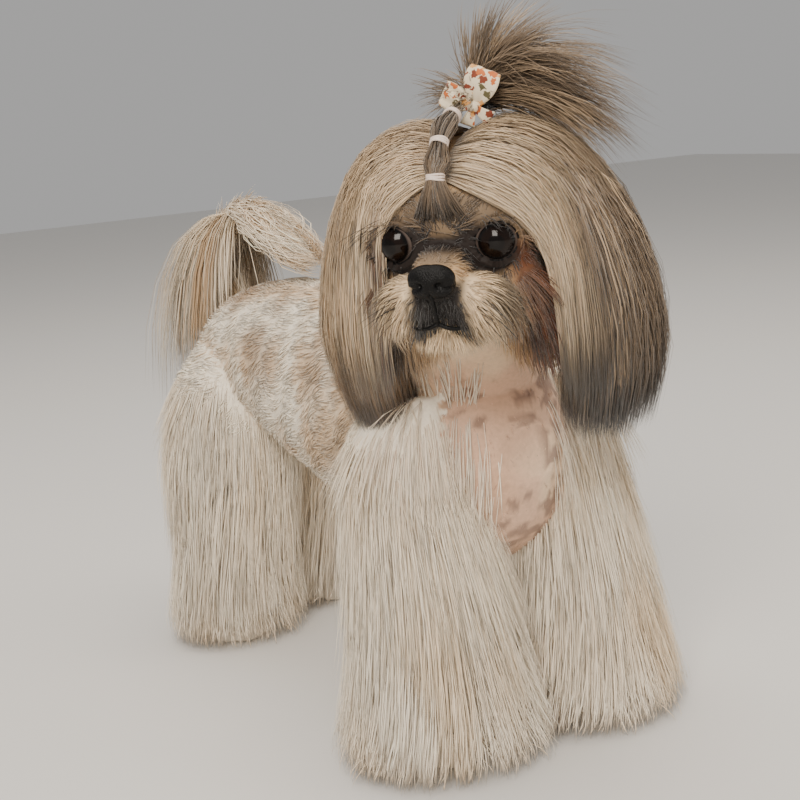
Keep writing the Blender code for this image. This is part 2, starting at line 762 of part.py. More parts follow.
def skull(eyes):
    """The head with lids over the eyeballs, each open in an almond, and the locks of its crown and cheeks."""
    rings, sides = MESH["head"]
    made = loft("head", upright_rings(curve_through(SKULL, rings), sides, SKULL_POWER), tan())
    lid = (EYE_RADIUS + LID,) * 3
    lids = [ball("lid", to_side(EYE_PLACE, side), lid, tan(), MESH["lid"]) for side in (1, -1)]
    combine(made, lids + crown_locks() + nape_locks() + cheek_locks(), "UNION")
    combine(made, [eye_opening(side) for side in (1, -1)], "DIFFERENCE")
    return clear_of(turned(made, HEAD), *eyes)


def eye_opening(side):
    """A cutter the shape of the gap between the lids, turned a little outwards as the eye looks."""
    made = ball("opening", (0, -EYE_RADIUS, 0), OPENING, tan(), MESH["opening"])
    turned(made, Matrix.Rotation(side * EYE_SPLAY, 4, "Z"))
    return turned(made, Matrix.Translation(to_side(EYE_PLACE, side)))


def eyeball(side, name):
    return turned(ball(name, to_side(EYE_PLACE, side), (EYE_RADIUS,) * 3, black(), MESH["eyeball"]), HEAD)


def fan_lock(root, way, reach, width, fall, material):
    """A short lock of the face that leaves its root one way and droops."""
    root, way = np.asarray(root, float), unit(way)

    def path(share):
        return root + way * reach * share + np.array([0, 0, -fall]) * share**2

    return lock(path, (width, FACE_LOCK_SIZE[1]), FACE_LOCK_FACES, material, SHORT_LOCK, FACE_LOCK_WIDEST)


def muzzle():
    """The short upper jaw: a bridge, a full pad on each side of it and the whiskers that fan from them."""
    rings, sides = MESH["bridge"]
    made = loft("muzzle", upright_rings(curve_through(BRIDGE, rings), sides, BRIDGE_POWER), cream())
    pads = [ball("pad", to_side(PAD_PLACE, side), PAD_SIZE, cream(), MESH["pad"]) for side in (1, -1)]
    locks = []
    for side in (1, -1):
        pad = np.array(to_side(PAD_PLACE, side))
        for i in range(MOUSTACHE_LOCKS):
            share = i / (MOUSTACHE_LOCKS - 1)
            angle = math.radians(np.interp(share, (0, 1), MOUSTACHE_TURNS))
            way = np.array([side * math.cos(angle), MOUSTACHE_FORWARD[i % 2], math.sin(angle)])
            root = pad + way * MOUSTACHE_ROOT
            fall = np.interp(share, (0, 1), MOUSTACHE_FALL)
            locks.append(fan_lock(root, way, MOUSTACHE_REACH[i % 2], FACE_LOCK_SIZE[0], fall, cream()))
        for x, lean, reach in BROW_LOCKS:
            way = (side * lean, BROW_FORWARD, 1.0)
            locks.append(fan_lock((side * x, *BROW_ROOT), way, reach, BROW_WIDTH, 0, tan()))
    return turned(combine(made, pads + locks, "UNION"), HEAD)


def chin():
    """The lower jaw with the beard that hangs from it."""
    made = ball("chin", CHIN_PLACE, CHIN_SIZE, cream(), MESH["chin"])
    locks = []
    for i in range(BEARD_LOCKS):
        angle = math.radians(np.interp(i / (BEARD_LOCKS - 1), (0, 1), BEARD_TURNS))
        way = np.array([math.cos(angle), BEARD_FORWARD[i % 2], math.sin(angle)])
        root = np.array(CHIN_PLACE) + way * BEARD_ROOT
        locks.append(fan_lock(root, way, BEARD_REACH[i % 2], FACE_LOCK_SIZE[0], BEARD_FALL, cream()))
    return turned(combine(made, locks, "UNION"), HEAD)


def nose():
    """The nose leather with its two nostrils."""
    made = ball("nose", NOSE_PLACE, NOSE_SIZE, black(), MESH["nose"])
    holes = [
        ball("nostril", to_side(NOSTRIL_PLACE, side), NOSTRIL_SIZE, black(), MESH["nostril"]) for side in (1, -1)
    ]
    return turned(combine(made, holes, "DIFFERENCE"), HEAD)


def ear(side, name):
    """A drop ear: the cupped flap within, and long locks round it that hang from the side of the crown."""
    reach, spread, fewer = EAR_SIDES[side]
    rings, sides = MESH["ear"]
    rows = curve_at(EAR, np.linspace(0, EAR_CORE_END, rings))
    rows[:, 0] *= side * reach
    rows[:, 3:] *= EAR_CORE_SHARE * spread
    made = loft(name, flat_rings(rows, sides), grey())
    combine(made, [ball("cup", to_side(CUP_PLACE, side), CUP_SIZE, grey(), MESH["cup"])], "DIFFERENCE")
    locks = []
    for tier, (first, last, count, width, share) in enumerate(EAR_TIERS):
        for i in range(count - fewer):
            angle = 2 * math.pi * (i + 0.5 * tier) / (count - fewer)
            angle += chance.uniform(-LOCK_STRAY, LOCK_STRAY) - EAR_CROWD * math.sin(2 * angle)
            end = last - chance.uniform(0, EAR_UNEVEN)
            locks.append(ear_lock(side, angle, (first, end), width * math.sqrt(spread), share))
    return turned(combine(made, locks, "UNION"), HEAD)


def ear_lock(side, angle, ends, width, share_out):
    """A lock of an ear at an angle round it, between two shares of its length."""
    reach, spread, _ = EAR_SIDES[side]

    def path(share):
        x, y, z, wide, deep = curve_at(EAR, [ends[0] + (ends[1] - ends[0]) * share])[0]
        lift = EAR_ROOT + (share_out - EAR_ROOT) * min(1.0, share / EAR_LIFT) ** EAR_EASE
        wide, deep = wide * spread * lift, deep * spread * lift
        return np.array([side * (x * reach + wide * math.cos(angle)), y + deep * math.sin(angle), z])

    out = (side * math.cos(angle) * EAR_FLAT, math.sin(angle), EAR_LEAN)
    return lock(path, (width, EAR_THICK), out, grey(), BENT_LOCK, 0.18, side * EAR_TILT)


def topknot_braid():
    """Hair drawn up from the brow and gathered through its bands to the bow."""
    rings, sides = MESH["braid"]
    rows = curve_through(BRAID, rings)
    path = np.stack([np.zeros(rings), rows[:, 0], rows[:, 1]], 1)
    return turned(loft("topknot_braid", tube_rings(path, rows[:, 2:], sides, BRAID_RIDGE), grey()), HEAD)


def topknot_spray():
    """The loose end above the bow, which falls open to all sides and mostly to the left."""
    made = ball("topknot_spray", SPRAY_ROOT, SPRAY_BALL, grey(), MESH["knot"])
    aside, back, up = SPRAY_FAN
    locks = []
    for count, length, leave, arrive, spread in SPRAYS:
        for i in range(count):
            swing = (2 * i / (count - 1) - 1) * spread
            twist = np.array([swing * aside * (-1) ** i, swing * (back - leave[1]), up * (i % 2)])
            start, stop = unit(leave + twist), unit(arrive + twist)
            locks.append(spray_lock(start, stop, length * chance.uniform(SPRAY_SHORTEST, 1.0)))
    return turned(combine(made, locks, "UNION"), HEAD)


def spray_lock(start, stop, length):
    """A lock that leaves the topknot one way and ends another."""
    root = np.array([place + chance.uniform(-SPRAY_STRAY, SPRAY_STRAY) for place in SPRAY_ROOT])
    first, last = SPRAY_BEND

    def path(share):
        return root + length * (first * start * (share - share**2 / 2) + last * stop * share**2)

    out = np.cross(np.cross(start, stop), start)
    return lock(path, SPRAY_SIZE, out, grey())


def band(name, row):
    """An elastic ring round the gathered hair."""
    y, z, wide, thick = BRAID[row]
    before, after = BRAID[row - 1], BRAID[row + 1]
    slope = math.atan2(after[1] - before[1], after[0] - before[0]) - math.pi / 2
    beads, turns = MESH["band"]
    points = [
        (
            (wide + BAND_RADIUS * (1 + math.cos(b))) * math.cos(a),
            (thick + BAND_RADIUS * (1 + math.cos(b))) * math.sin(a),
            BAND_RADIUS * BAND_WIDTH * math.sin(b),
        )
        for a in turn_angles(turns)
        for b in turn_angles(beads)
    ]
    faces = []
    for i in range(turns):
        after = (i + 1) % turns
        for j in range(beads):
            k = (j + 1) % beads
            faces.append((i * beads + j, i * beads + k, after * beads + k, after * beads + j))
    made = mesh_object(name, points, faces, rubber())
    turned(made, Matrix.Translation((0, y, z)) @ Matrix.Rotation(slope, 4, "X"))
    return turned(made, HEAD)


def bow():
    """A small fabric bow: a knot and two loops, one standing and one to the side."""
    made = ball("bow", BOW_PLACE, BOW_KNOT, cloth(), MESH["knot"])
    loops = [loft("loop", loop_rings(unit(way)), cloth()) for way in BOW_WAYS]
    return turned(combine(made, loops, "UNION"), HEAD)


def loop_rings(way):
    """The sections of a loop that stands one way from the knot, flat towards the front."""
    flat = unit(np.cross(way, (0, 1, 0)))
    deep = np.cross(way, flat)
    turn = turn_angles(MESH["loop"][1])
    return [
        np.array(BOW_PLACE) + way * length + np.outer(np.cos(turn) * wide, flat) + np.outer(np.sin(turn) * thick, deep)
        for length, wide, thick in BOW_LOOP
    ]


def limb_rows(name):
    return FORE_LIMB if name.startswith("fore") else HIND_LIMB


def coat_rows(name):
    return FORE_COAT if name.startswith("fore") else HIND_COAT


def limb_place(name, height):
    """Where a limb's middle is at a height, in plan, running from its top's place to the foot's."""
    top_x, top_y = TOPS[name]
    foot_x, foot_y = FEET[name]
    rows = limb_rows(name)
    share = row_at(rows, height)[0]
    inset = TOP_INSET * max(0.0, (height - TOP_TURN) / (rows[0][0] - TOP_TURN))
    x = top_x + (foot_x - top_x) * share - math.copysign(inset, top_x)
    return x, top_y + (foot_y - top_y) * share


def inside_trunk(point):
    x, y, z = point
    if not TRUNK[0][0] < y < TRUNK[-1][0]:
        return False
    top, bottom, half = row_at(TRUNK, y)
    up = (z - (top + bottom) / 2) / ((top - bottom) / 2)
    return abs(x / half) ** TRUNK_POWER + abs(up) ** TRUNK_POWER < 1


def leg(name):
    """A limb with a flat sole, in its long coat."""
    rings, sides = MESH["limb"]
    rows = []
    for z, _, wide, deep, back in curve_through(limb_rows(name), rings):
        x, y = limb_place(name, z)
        rows.append((x, y + back, z, wide, deep))
    x, y, _, wide, deep = rows[-1]
    rows.append((x, y, 0.0, wide * SOLE_SHARE, deep * SOLE_SHARE))
    made = loft("leg_" + name, flat_rings(rows, sides), cream())
    locks = []
    for tier, (high, lowest, highest, count, width, out_by, inset) in enumerate(LEG_TIERS):
        for i in range(count):
            angle = 2 * math.pi * (i + 0.5 * tier) / count + chance.uniform(-LOCK_STRAY, LOCK_STRAY)
            path = leg_path(name, angle, high, chance.uniform(lowest, highest), out_by, inset)
            if not inside_trunk(path(out_by)):
                out = (math.cos(angle), math.sin(angle), LEG_LEAN)
                stations = (0.0, out_by, *LEG_STATIONS)
                locks.append(lock(path, (width, LEG_THICK), out, cream(), stations, tilt=LEG_TILT))
    return combine(made, locks, "UNION")


def leg_path(name, angle, high, low, out_by, inset):
    """The way a lock hangs: out of the limb, onto the coat's outline and down it."""
    side = math.copysign(1, FEET[name][0])

    def path(share):
        z = high + (low - high) * share
        x, y = limb_place(name, z)
        outline = row_at(coat_rows(name), z)[0] - LEG_THICK * LOCK_RIDGE - inset
        radius = LEG_ROOT + (outline - LEG_ROOT) * min(1.0, share / out_by) ** LEG_EASE
        radius -= LEG_TUCK * max(0.0, share - LEG_TUCK_FROM) / (1 - LEG_TUCK_FROM)
        radius *= 1 + LEG_INNER * max(0.0, -side * math.cos(angle))
        x = side * max(MIDDLE_CLEAR, side * (x + radius * math.cos(angle)))
        return np.array([x, y + radius * math.sin(angle), z])

    return path


def tail_length(name):
    """One length of the tail."""
    rings, sides = MESH["tail"]
    rows = curve_at(TAIL, np.linspace(*TAIL_LENGTHS[name], rings))
    path = np.stack([np.zeros(rings), rows[:, 0], rows[:, 1]], 1)
    return loft(name, tube_rings(path, rows[:, [2, 2]], sides), cream())


def tail_bend():
    """The bend of the tail, and the plume that falls from it behind the rump."""
    made = tail_length("tail_bend")
    locks = []
    for i, (share, turn, reach, fall) in enumerate(BEND_PLUME):
        y, z, _ = curve_at(TAIL, [share])[0]
        turn = math.radians(turn)
        way = np.array([-math.sin(turn), math.cos(turn), 0])
        locks.append(falling_lock(np.array([0, y, z]), way, reach, fall, PLUME_TWIST * (-1) ** i))
    return combine(made, locks, "UNION")


def falling_lock(root, way, reach, fall, twist):
    """A plume lock that leaves its root one way and falls over by its weight."""

    def path(share):
        rise = PLUME_RISE * share - (fall + PLUME_RISE) * share**PLUME_DROOP
        return root + way * reach * (1 - (1 - share) ** PLUME_REACH) + np.array([0, 0, rise])

    out = np.array([0, 0, 1.0]) + way * PLUME_FACE + np.cross(way, (0, 0, 1)) * twist
    return lock(path, (BEND_WIDTH, PLUME_THICK), out, cream(), BENT_LOCK)


def tail_tip():
    """The part of the tail that comes over, and its plume, which lies along it and down onto the back."""
    made = tail_length("tail_tip")
    locks = []
    for place, bow_out, hang in TIP_PLUME:
        for side in (1, -1):
            locks.append(lying_lock(place + TIP_OFFSET * (side < 0), side * bow_out, hang))
    return combine(made, locks, "UNION")


def lying_lock(place, bow_out, hang):
    """A plume lock that follows the tail's line, bowed out to a side and back in."""

    def path(share):
        y, z, thick = curve_at(TAIL, [place + TIP_PLUME_LENGTH * share])[0]
        bulge = math.sin(math.pi * np.interp(share, (0, 1), TIP_ARC))
        level = z + thick * math.sin(math.pi * share) - hang * bulge
        return np.array([bow_out * bulge, y, max(level, BACK_LEVEL)])

    return lock(path, (TIP_WIDTH, PLUME_THICK), (bow_out, 0, TIP_FACE), cream(), BENT_LOCK)


def build():
    clear_scene()
    torso = trunk()
    eyes = [eyeball(1, "eye_left"), eyeball(-1, "eye_right")]
    head = skull(eyes)
    throat = neck(torso, head)
    snout = clear_of(muzzle(), head, throat, *eyes)
    jaw = clear_of(chin(), head, throat, snout)
    clear_of(nose(), snout)
    legs = {name: clear_of(leg(name), torso) for name in FEET}
    fore = [legs["fore_left"], legs["fore_right"]]
    hind = [legs["hind_left"], legs["hind_right"]]
    clear_of(fore[1], fore[0])
    clear_of(hind[1], hind[0])
    for side, name in ((1, "ear_left"), (-1, "ear_right")):
        clear_of(ear(side, name), head, throat, torso, snout, jaw, *fore)
    bands = [band("band_%d" % (i + 1), row) for i, row in enumerate(BAND_ROWS)]
    tie = clear_of(bow(), head, *bands)
    braid = clear_of(topknot_braid(), head, tie, *bands)
    clear_of(topknot_spray(), head, tie, braid)
    root = clear_of(tail_length("tail_root"), torso)
    bend = clear_of(tail_bend(), torso, root, *hind)
    clear_of(tail_tip(), torso, bend)
    centre_on_origin()


def centre_on_origin():
    """Moves everything so that the origin is at the bottom centre of the bounding box."""
    shapes = [o for o in bpy.data.objects if o.type == "MESH"]
    points = np.vstack([[v.co for v in o.data.vertices] for o in shapes])
    low, high = points.min(0), points.max(0)
    shift = Matrix.Translation((-(low[0] + high[0]) / 2, -(low[1] + high[1]) / 2, -low[2]))
    for shape in shapes:
        turned(shape, shift)


build()
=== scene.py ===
import math

import bpy
import numpy as np
from mathutils import Matrix, Vector
from mathutils.bvhtree import BVHTree
from mathutils.kdtree import KDTree


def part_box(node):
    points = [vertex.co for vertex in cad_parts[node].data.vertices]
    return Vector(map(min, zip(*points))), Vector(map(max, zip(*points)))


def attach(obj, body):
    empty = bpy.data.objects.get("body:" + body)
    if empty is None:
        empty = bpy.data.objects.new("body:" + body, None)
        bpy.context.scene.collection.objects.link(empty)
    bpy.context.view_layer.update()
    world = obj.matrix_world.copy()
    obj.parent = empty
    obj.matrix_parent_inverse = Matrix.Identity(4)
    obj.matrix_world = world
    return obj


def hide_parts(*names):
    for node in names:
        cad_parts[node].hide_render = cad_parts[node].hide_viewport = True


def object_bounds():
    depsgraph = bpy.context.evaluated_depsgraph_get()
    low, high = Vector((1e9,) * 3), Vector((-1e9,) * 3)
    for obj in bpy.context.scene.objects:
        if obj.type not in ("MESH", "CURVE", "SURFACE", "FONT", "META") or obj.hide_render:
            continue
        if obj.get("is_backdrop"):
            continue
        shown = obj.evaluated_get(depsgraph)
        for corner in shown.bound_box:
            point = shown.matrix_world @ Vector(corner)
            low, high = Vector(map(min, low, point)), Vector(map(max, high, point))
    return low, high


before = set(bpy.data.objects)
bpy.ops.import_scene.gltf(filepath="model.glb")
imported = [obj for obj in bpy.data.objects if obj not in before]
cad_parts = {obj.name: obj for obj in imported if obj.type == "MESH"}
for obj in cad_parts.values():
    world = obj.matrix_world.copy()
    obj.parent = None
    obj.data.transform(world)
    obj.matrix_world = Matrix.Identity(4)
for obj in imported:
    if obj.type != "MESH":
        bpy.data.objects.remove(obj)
cad_box = [list(corner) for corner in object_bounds()]
draw = np.random.default_rng(11)

ACROSS = np.array([1.0, 0, 0])
MM = 1000  # millimetres to a metre: the tables that are divided by it are in millimetres

# The body as the solids lay it out, in metres: -Y is forwards, the dog's left is at +X, and the floor is at
# z = 0
TRUNK = np.array([
    (-166, 186, 148, 20), (-150, 212, 111, 44), (-122, 236, 92, 57), (-80, 249, 94, 62),
    (-30, 250, 108, 64), (30, 250, 124, 62), (80, 249, 138, 58), (122, 243, 140, 57),
    (156, 230, 142, 48), (177, 203, 158, 27),
]) / MM
NECK = np.array([
    (0, -92, 186, 50, 52), (-4, -122, 222, 45, 46), (-14, -150, 252, 40, 40), (-28, -165, 280, 37, 36),
]) / MM
HEAD_CENTRE = Vector((-0.0326, -0.1731, 0.292))
HEAD = Matrix.Translation(HEAD_CENTRE) @ Matrix.Rotation(math.radians(-50), 4, "Z")
HEAD = HEAD @ Matrix.Rotation(math.radians(8), 4, "X")
SKULL = np.array([
    (-50, 12, -12, 14), (-45, 30, -32, 33), (-32, 41, -41, 43), (-8, 47, -44, 48), (20, 46, -40, 48),
    (42, 35, -30, 37), (54, 14, -10, 16),
]) / MM
SKULL_POWER = 2.3
EYE_RADIUS = 0.0115
EYE_PLACE = (0.0240, -0.0400, 0.004)
EYE_SPLAY = math.radians(14)
BRIDGE = np.array([
    (-36, 6, -30, 18), (-50, 5, -26, 14), (-64, 2, -22, 12), (-72, -3, -17, 9),
]) / MM
PAD_PLACE = (0.0130, -0.0560, -0.0215)
PAD_SIZE = (0.0165, 0.0140, 0.0130)
CHIN_PLACE = (0.0, -0.0500, -0.0375)
CHIN_SIZE = (0.0180, 0.0130, 0.0080)
NOSE_PLACE = np.array((0.0, -0.0735, -0.0075))
NOSE_SIZE = np.array((0.0115, 0.0065, 0.0080))
EAR = np.array([
    (28, 4, 46, 8, 22), (45, 4, 37, 13, 32), (59, 5, 16, 19, 36), (66, 6, -15, 25, 38),
    (69, 6, -48, 29, 36), (66, 6, -80, 28, 33), (60, 6, -111, 24, 27),
]) / MM
EAR_SIDES = {1: (1.0, 1.0), -1: (0.93, 0.80)}
BRAID = np.array([
    (-47, 14, 18, 4), (-51.5, 27, 10, 5), (-50, 36, 4.5, 4.5), (-45, 42, 8, 6), (-38, 50, 4.5, 4.5),
    (-26, 56, 8, 6), (-12, 58, 4.5, 4.5), (-1, 60, 6.5, 5.5),
]) / MM
BAND_ROWS = (2, 4, 6)
BOW_PLACE = np.array((0.008, 0.003, 0.0600))
SPRAY_ROOT = np.array((0.006, 0.013, 0.061))
FEET = {
    "fore_left": (0.056, -0.136),
    "fore_right": (-0.050, -0.136),
    "hind_left": (0.042, 0.146),
    "hind_right": (-0.052, 0.120),
}
TOPS = {
    "fore_left": (0.062, -0.114),
    "fore_right": (-0.050, -0.120),
    "hind_left": (0.040, 0.124),
    "hind_right": (-0.040, 0.122),
}
FORE_LIMB = np.array([
    (0.216, 0.0, 0.007, 0.012, 0.012),
    (0.198, 0.0, 0.018, 0.024, 0.008),
    (0.165, 0.1, 0.025, 0.029, 0.002),
    (0.120, 0.4, 0.024, 0.026, 0.000),
    (0.075, 0.8, 0.021, 0.022, 0.000),
    (0.035, 1.0, 0.019, 0.020, 0.000),
    (0.014, 1.0, 0.022, 0.027, -0.004),
    (0.003, 1.0, 0.021, 0.026, -0.005),
])
HIND_LIMB = np.array([
    (0.224, 0.0, 0.008, 0.016, 0.000),
    (0.202, 0.0, 0.021, 0.032, 0.000),
    (0.165, 0.1, 0.028, 0.040, -0.002),
    (0.122, 0.4, 0.025, 0.034, -0.010),
    (0.082, 0.7, 0.020, 0.025, 0.002),
    (0.050, 0.9, 0.017, 0.020, 0.012),
    (0.028, 1.0, 0.017, 0.019, 0.004),
    (0.013, 1.0, 0.020, 0.025, -0.004),
    (0.003, 1.0, 0.019, 0.024, -0.005),
])
FORE_COAT = np.array([
    (205, 26), (180, 34), (140, 40), (95, 47), (50, 53), (20, 58), (0, 57),
]) / MM
HIND_COAT = np.array([
    (215, 22), (190, 34), (160, 44), (130, 48), (90, 45), (50, 43), (20, 45), (0, 42),
]) / MM
TAIL = np.array([
    (160, 212, 12), (178, 232, 10.5), (186, 256, 9), (180, 276, 8), (162, 286, 7.5), (138, 289, 7),
    (112, 285, 6), (88, 275, 5), (68, 264, 4), (50, 257, 3), (34, 253.5, 2),
]) / MM

STRANDS = {
    "fore_right": 7800, "fore_left": 6400, "hind_right": 5600, "hind_left": 4600, "ear": 3200, "crown": 3100,
    "nape": 900, "braid": 900, "fringe": 5200, "body": 21000, "face": 9000,
}
MOST_TRIANGLES = 190000  # in one piece of the coat
PATCH = 0.0030  # the size of a tuft's patch on the coat's map
MAP_CELLS = 8  # cells along each side of the skin's map


def head_place(point):
    return HEAD @ Vector(point)


low, high = (np.array(corner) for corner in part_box("eye_left"))
SHIFT = (low + high) / 2 - np.array(head_place(EYE_PLACE))


# Colours, as a screen shows them
def shade(red, green, blue):
    value = np.array((red, green, blue)) / 255
    return np.where(value <= 0.04045, value / 12.92, ((value + 0.055) / 1.055) ** 2.4)


WHITE = shade(246, 234, 214)
CREAM = shade(232, 208, 172)
SAND = shade(204, 168, 124)
TAN = shade(160, 124, 86)
FAWN = shade(196, 168, 134)
TAUPE = shade(124, 104, 82)
SMOKE = shade(80, 68, 56)
SOOT = shade(26, 20, 17)
RUST = shade(104, 50, 22)
MASK = shade(26, 15, 9)
PINK = shade(204, 164, 136)
SPOT = shade(122, 92, 78)


def mix(a, b, share):
    return a + (b - a) * np.clip(share, 0, 1)[..., None]


def each_of(count, colour):
    return np.broadcast_to(colour, (count, 3))


def ramp(value, low, high):
    """0 below low, 1 above high, smooth between."""
    t = np.clip((value - low) / (high - low), 0, 1)
    return t * t * (3 - 2 * t)


def blotch(points, size, seed, octaves=2):
    """A smooth random field, mostly between -1 and 1."""
    pick = np.random.default_rng(seed)
    total = np.zeros(points.shape[:-1])
    for octave in range(octaves):
        waves = pick.normal(size=(9, 3)) * 2**octave / size
        phases = pick.uniform(0, 2 * math.pi, 9)
        total += np.sin(points @ waves.T + phases).sum(-1) / 3 / 1.7**octave
    return total / 1.3


def along(curves, shares):
    """Places on smooth curves through rows, for shares of their length from 0 to 1."""
    curves = np.asarray(curves, float)
    count = curves.shape[-2]
    first_pad = 2 * curves[..., :1, :] - curves[..., 1:2, :]
    last_pad = 2 * curves[..., -1:, :] - curves[..., -2:-1, :]
    padded = np.concatenate([first_pad, curves, last_pad], -2)
    place = np.clip(np.asarray(shares, float), 0, 1) * (count - 1)
    first = np.minimum(place.astype(int), count - 2)
    t = (place - first)[..., None]
    if curves.ndim == 2:
        a, b, c, d = (padded[first + i] for i in range(4))
    else:
        a, b, c, d = (np.take_along_axis(padded, (first + i)[..., None], -2) for i in range(4))
    return 0.5 * (2 * b + (c - a) * t + (2 * a - 5 * b + 4 * c - d) * t**2 + (3 * b - a - 3 * c + d) * t**3)


def rows_at(rows, place):
    """The numbers of rows at places between them, straight from row to row, by their first column."""
    order = np.argsort(rows[:, 0])
    return [np.interp(place, rows[order, 0], column) for column in rows[order, 1:].T]


def unit(vectors):
    return vectors / np.maximum(np.linalg.norm(vectors, axis=-1, keepdims=True), 1e-9)


def placed(points, matrix):
    matrix = np.array(matrix)
    return points @ matrix[:3, :3].T + matrix[:3, 3]


def to_body(points):
    """Places in the head's frame, in the body's."""
    return placed(points, HEAD)


def to_head(points):
    return placed(points, HEAD.inverted())


def turned(ways):
    """Directions in the head's frame, in the body's."""
    return to_body(ways) - to_body(np.zeros(3))


def steps(count):
    return np.linspace(0, 1, count)


def turn_angles(count):
    return np.linspace(0, 2 * math.pi, count, endpoint=False)


# Meshes
def link(name, mesh, material, smooth=True):
    if smooth:
        mesh.shade_smooth()
    mesh.materials.append(material)
    made = bpy.data.objects.new(name, mesh)
    bpy.context.scene.collection.objects.link(made)
    return made


def triangle_mesh(name, points, triangles):
    mesh = bpy.data.meshes.new(name)
    mesh.vertices.add(len(points))
    mesh.vertices.foreach_set("co", np.ascontiguousarray(points, np.float32).ravel())
    mesh.loops.add(triangles.size)
    mesh.loops.foreach_set("vertex_index", np.ascontiguousarray(triangles, np.int32).ravel())
    mesh.polygons.add(len(triangles))
    mesh.polygons.foreach_set("loop_start", np.arange(0, triangles.size, 3, dtype=np.int32))
    mesh.update(calc_edges=True)
    return mesh


def loft_faces(count, sides):
    i, j = np.meshgrid(np.arange(count - 1), np.arange(sides), indexing="ij")
    k = (j + 1) % sides
    here, above = i * sides, (i + 1) * sides
    quads = np.stack([here + j, here + k, above + k, above + j], -1).reshape(-1, 4)
    first, last = count * sides, count * sides + 1
    ring = np.arange(sides)
    after = (ring + 1) % sides
    ends = [(first, b, a) for a, b in zip(ring, after)]
    ends += [(last, (count - 1) * sides + a, (count - 1) * sides + b) for a, b in zip(ring, after)]
    return [tuple(q) for q in quads] + ends


def loft(rings):
    """(points, faces) of a closed mesh through rings of equally many points."""
    rings = np.asarray(rings, float)
    count, sides = rings.shape[:2]
    points = np.vstack([rings.reshape(-1, 3), rings[0].mean(0), rings[-1].mean(0)])
    return points, loft_faces(count, sides)


def outward(points, faces):
    """Faces turned so that the mesh points out."""
    corners = [(f[0], f[i], f[i + 1]) for f in faces for i in range(1, len(f) - 1)]
    a, b, c = (points[[t[i] for t in corners]] for i in range(3))
    if np.einsum("ij,ij->", a, np.cross(b, c)) < 0:
        return [tuple(reversed(f)) for f in faces]
    return faces


def upright_rings(rows, sides, power):
    turn = turn_angles(sides)
    across, up = np.cos(turn), np.sin(turn)
    across = np.sign(across) * abs(across) ** (2 / power)
    up = np.sign(up) * abs(up) ** (2 / power)
    return [
        np.stack([half * across, np.full(sides, y), (top + bottom) / 2 + (top - bottom) / 2 * up], 1)
        for y, top, bottom, half in rows
    ]


def flat_ring(x, y, z, wide, deep, turn):
    return np.stack([x + wide * np.cos(turn), y + deep * np.sin(turn), np.full(len(turn), z)], 1)


def tube_rings(path, radii, sides):
    turn = turn_angles(sides)
    rings = []
    for centre, way, (wide, deep) in zip(path, unit(np.gradient(path, axis=0)), radii):
        side = unit(ACROSS - way * way[0])
        third = np.cross(way, side)
        rings.append(centre + np.outer(np.cos(turn) * wide, side) + np.outer(np.sin(turn) * deep, third))
    return rings


def ball_rings(centre, radii, rings=14, sides=24):
    turn = turn_angles(sides)
    heights = np.linspace(0, math.pi, rings + 2)[1:-1]
    shape = [flat_ring(0, 0, np.cos(h), np.sin(h), np.sin(h), turn) for h in heights]
    return np.array(shape) * np.array(radii) + np.array(centre)


# The limbs
def limb_rows(name):
    return FORE_LIMB if name.startswith("fore") else HIND_LIMB


def limb_middle(name, z):
    """The middle of a limb at heights z, in plan."""
    rows = limb_rows(name)
    share = rows_at(rows, z)[0]
    top, foot = np.array(TOPS[name]), np.array(FEET[name])
    inset = 0.020 * np.maximum(0, (z - 0.180) / (rows[0, 0] - 0.180))
    x = top[0] + (foot[0] - top[0]) * share - math.copysign(1, top[0]) * inset
    return x, top[1] + (foot[1] - top[1]) * share


# The skin
CORE = 0.5  # how far out the skin reaches into the long coat, as a share of its depth
SKIN_GRAIN = 0.00135  # the cells that the skin is made whole in
SKIN_KEPT = 0.30  # the share of its triangles that stay
DEPTHS = {"trunk": 0.0045, "neck": 0.0035, "skull": 0.0030}


def inset_rows(rows, depth):
    rows = rows.copy()
    rows[:, 1] -= depth
    rows[:, 2] += depth
    rows[:, 3] -= depth
    return rows


